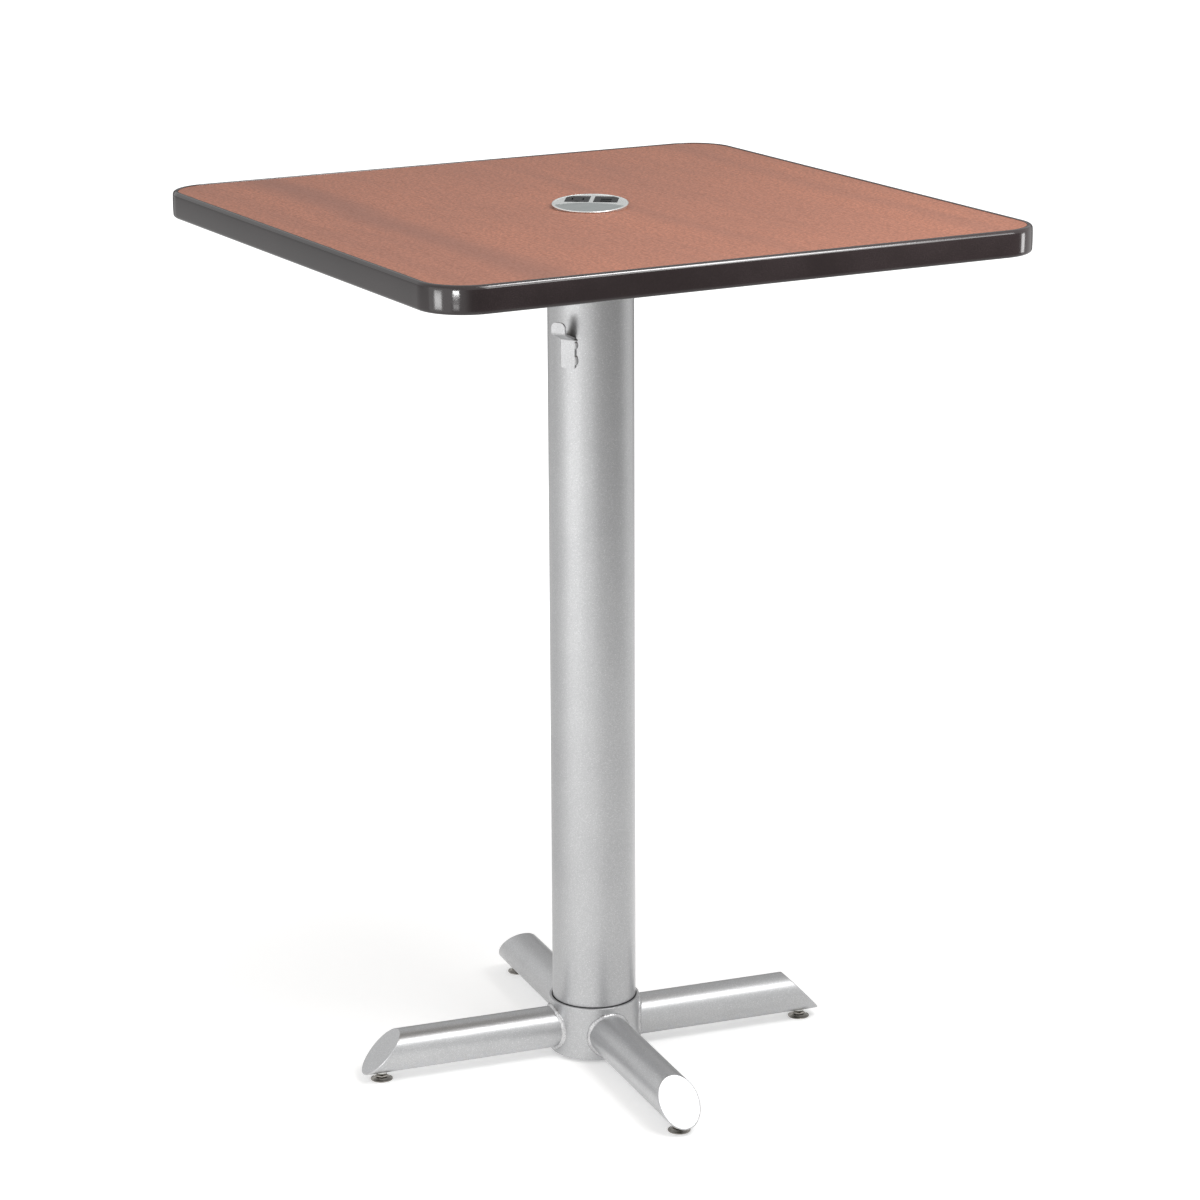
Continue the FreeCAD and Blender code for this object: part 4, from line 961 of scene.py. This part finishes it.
dark = f_math("MULTIPLY", f_math("MAXIMUM", right_dark, back_dark), seen_mirrored)
nt.links.new(f_math("MULTIPLY", glow_mirrored, f_math("MULTIPLY", seen_mirrored, f_math("SUBTRACT", 1.0, dark))), mul.inputs[0])
nt.links.new(glow_straight, mul.inputs[1])
tone = nt.nodes.new("ShaderNodeMix")
tone.data_type = "RGBA"
nt.links.new(dark, tone.inputs[0])
tone.inputs[6].default_value = (0.93, 0.93, 0.925, 1)
tone.inputs[7].default_value = (0.0, 0.0, 0.0, 1)
nt.links.new(tone.outputs[2], dif.inputs["Color"])
add = nt.nodes.new("ShaderNodeAddShader")
nt.links.new(dif.outputs[0], add.inputs[0])
nt.links.new(glow.outputs[0], add.inputs[1])
clear = nt.nodes.new("ShaderNodeBsdfTransparent")
geo = nt.nodes.new("ShaderNodeNewGeometry")
pick = nt.nodes.new("ShaderNodeMixShader")
nt.links.new(geo.outputs["Backfacing"], pick.inputs[0])
nt.links.new(add.outputs[0], pick.inputs[1])
nt.links.new(clear.outputs[0], pick.inputs[2])
nt.links.new(pick.outputs[0], out.inputs["Surface"])
me.materials.append(fm)
floor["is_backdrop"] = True


def soft_box(name, azimuth, elevation, distance, width, height, radiance, aim_at=(0, 0, 0.5), colour=(1, 1, 1)):
    """A rectangular soft light; radiance is what a mirror would show of it."""
    a, e = math.radians(azimuth), math.radians(elevation)
    at = Vector(aim_at)
    pos = at + distance * Vector((math.cos(a) * math.cos(e), math.sin(a) * math.cos(e), math.sin(e)))
    data = bpy.data.lights.new(name, "AREA")
    data.shape = "RECTANGLE"
    data.size, data.size_y = width, height
    data.energy = radiance * math.pi * width * height
    data.color = colour
    ob = bpy.data.objects.new(name, data)
    scene.collection.objects.link(ob)
    ob.location = pos
    ob.rotation_mode = "QUATERNION"
    ob.rotation_quaternion = (pos - at).to_track_quat("Z", "Y")
    ob.visible_camera = False
    return ob


soft_box("key_box", -67.4, 54.5, 2.20, 1.1, 0.95, 6.0, (0, 0, 0.37))
soft_box("panel_left", -166, 0, 2.05, 1.7, 1.7, 0.65, (0, 0, 0.86))

# small strips whose images stand in the glossy band: they light nothing else
gloss_only = bpy.data.collections.new("band_only")
gloss_only.objects.link(band)
for args in (("strip_over", -58.7, 42.0, 1.75, 0.37, 1.2, 21.0, (0, -0.1, 0.93)),
             ("strip_over_low", -59.0, 13.0, 1.80, 1.3, 0.62, 6.5, (0, -0.38, 1.04)),
             ("strip_left_far", -168.5, 0, 2.30, 0.58, 0.24, 10.5, (0, 0, 0.66)),
             ("strip_left_near", -135.3, 0, 2.42, 0.42, 0.06, 8.0, (0, 0, 0.57)),
             ("strip_left_bright", -135.3, 0, 2.42, 0.42, 0.06, 75.0, (0, 0, 0.80)),
             ("strip_right", -23.5, 0, 2.36, 0.38, 0.26, 8.5, (0, 0, 0.69))):
    soft_box(*args).light_linking.receiver_collection = gloss_only

# a low window on the left that only the ground end of the left leg catches
end_only = bpy.data.collections.new("leg_end_only")
end_only.objects.link(tubes["left"])
soft_box("window_left", -153, 18, 1.9, 0.6, 0.6, 6.0, (-0.27, 0.03, 0.04)).light_linking.receiver_collection = end_only

world = bpy.data.worlds.new("studio")
scene.world = world
world.use_nodes = True
wt = world.node_tree
wt.nodes.clear()
w_out = wt.nodes.new("ShaderNodeOutputWorld")


def w_math(op, a, b=0.0):
    n = wt.nodes.new("ShaderNodeMath")
    n.operation = op
    for value, socket in ((a, n.inputs[0]), (b, n.inputs[1])):
        if isinstance(value, bpy.types.NodeSocket):
            wt.links.new(value, socket)
        else:
            socket.default_value = value
    return n.outputs[0]


def w_step(value, a, b):
    n = wt.nodes.new("ShaderNodeMapRange")
    n.interpolation_type = "SMOOTHSTEP"
    wt.links.new(value, n.inputs["Value"])
    n.inputs["From Min"].default_value = a
    n.inputs["From Max"].default_value = b
    return n.outputs["Result"]


geo_w = wt.nodes.new("ShaderNodeTexCoord")
sep = wt.nodes.new("ShaderNodeSeparateXYZ")
wt.links.new(geo_w.outputs["Generated"], sep.inputs[0])
def w_toward(az_deg, el_deg):
    a, e = math.radians(az_deg), math.radians(el_deg)
    d = (math.cos(a) * math.cos(e), math.sin(a) * math.cos(e), math.sin(e))
    return w_math("ADD", w_math("ADD", w_math("MULTIPLY", sep.outputs[0], d[0]), w_math("MULTIPLY", sep.outputs[1], d[1])),
                  w_math("MULTIPLY", sep.outputs[2], d[2]))


# the far side of the studio is dimmer, and darkest close to its horizon
open_side = w_step(w_toward(52, 32), 0.96, 0.66)
horizon = w_math("MULTIPLY", w_step(w_toward(61, 3), 0.80, 0.92), w_step(sep.outputs[2], 0.24, 0.15))
lpw = wt.nodes.new("ShaderNodeLightPath")
glossy = w_math("MULTIPLY", w_math("ADD", 0.65, w_math("MULTIPLY", open_side, 0.32)),
                w_math("SUBTRACT", 1.0, w_math("MULTIPLY", horizon, 0.72)))
level = w_math("ADD", w_math("MULTIPLY", lpw.outputs["Is Glossy Ray"], glossy),
               w_math("MULTIPLY", w_math("SUBTRACT", 1.0, lpw.outputs["Is Glossy Ray"]), 0.62))
seen = w_math("MULTIPLY", lpw.outputs["Is Camera Ray"], 1.1)
rest = w_math("MULTIPLY", w_math("SUBTRACT", 1.0, lpw.outputs["Is Camera Ray"]), level)
bg = wt.nodes.new("ShaderNodeBackground")
bg.inputs["Color"].default_value = (1, 1, 1, 1)
wt.links.new(w_math("ADD", seen, rest), bg.inputs["Strength"])
wt.links.new(bg.outputs[0], w_out.inputs["Surface"])

lo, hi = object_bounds()
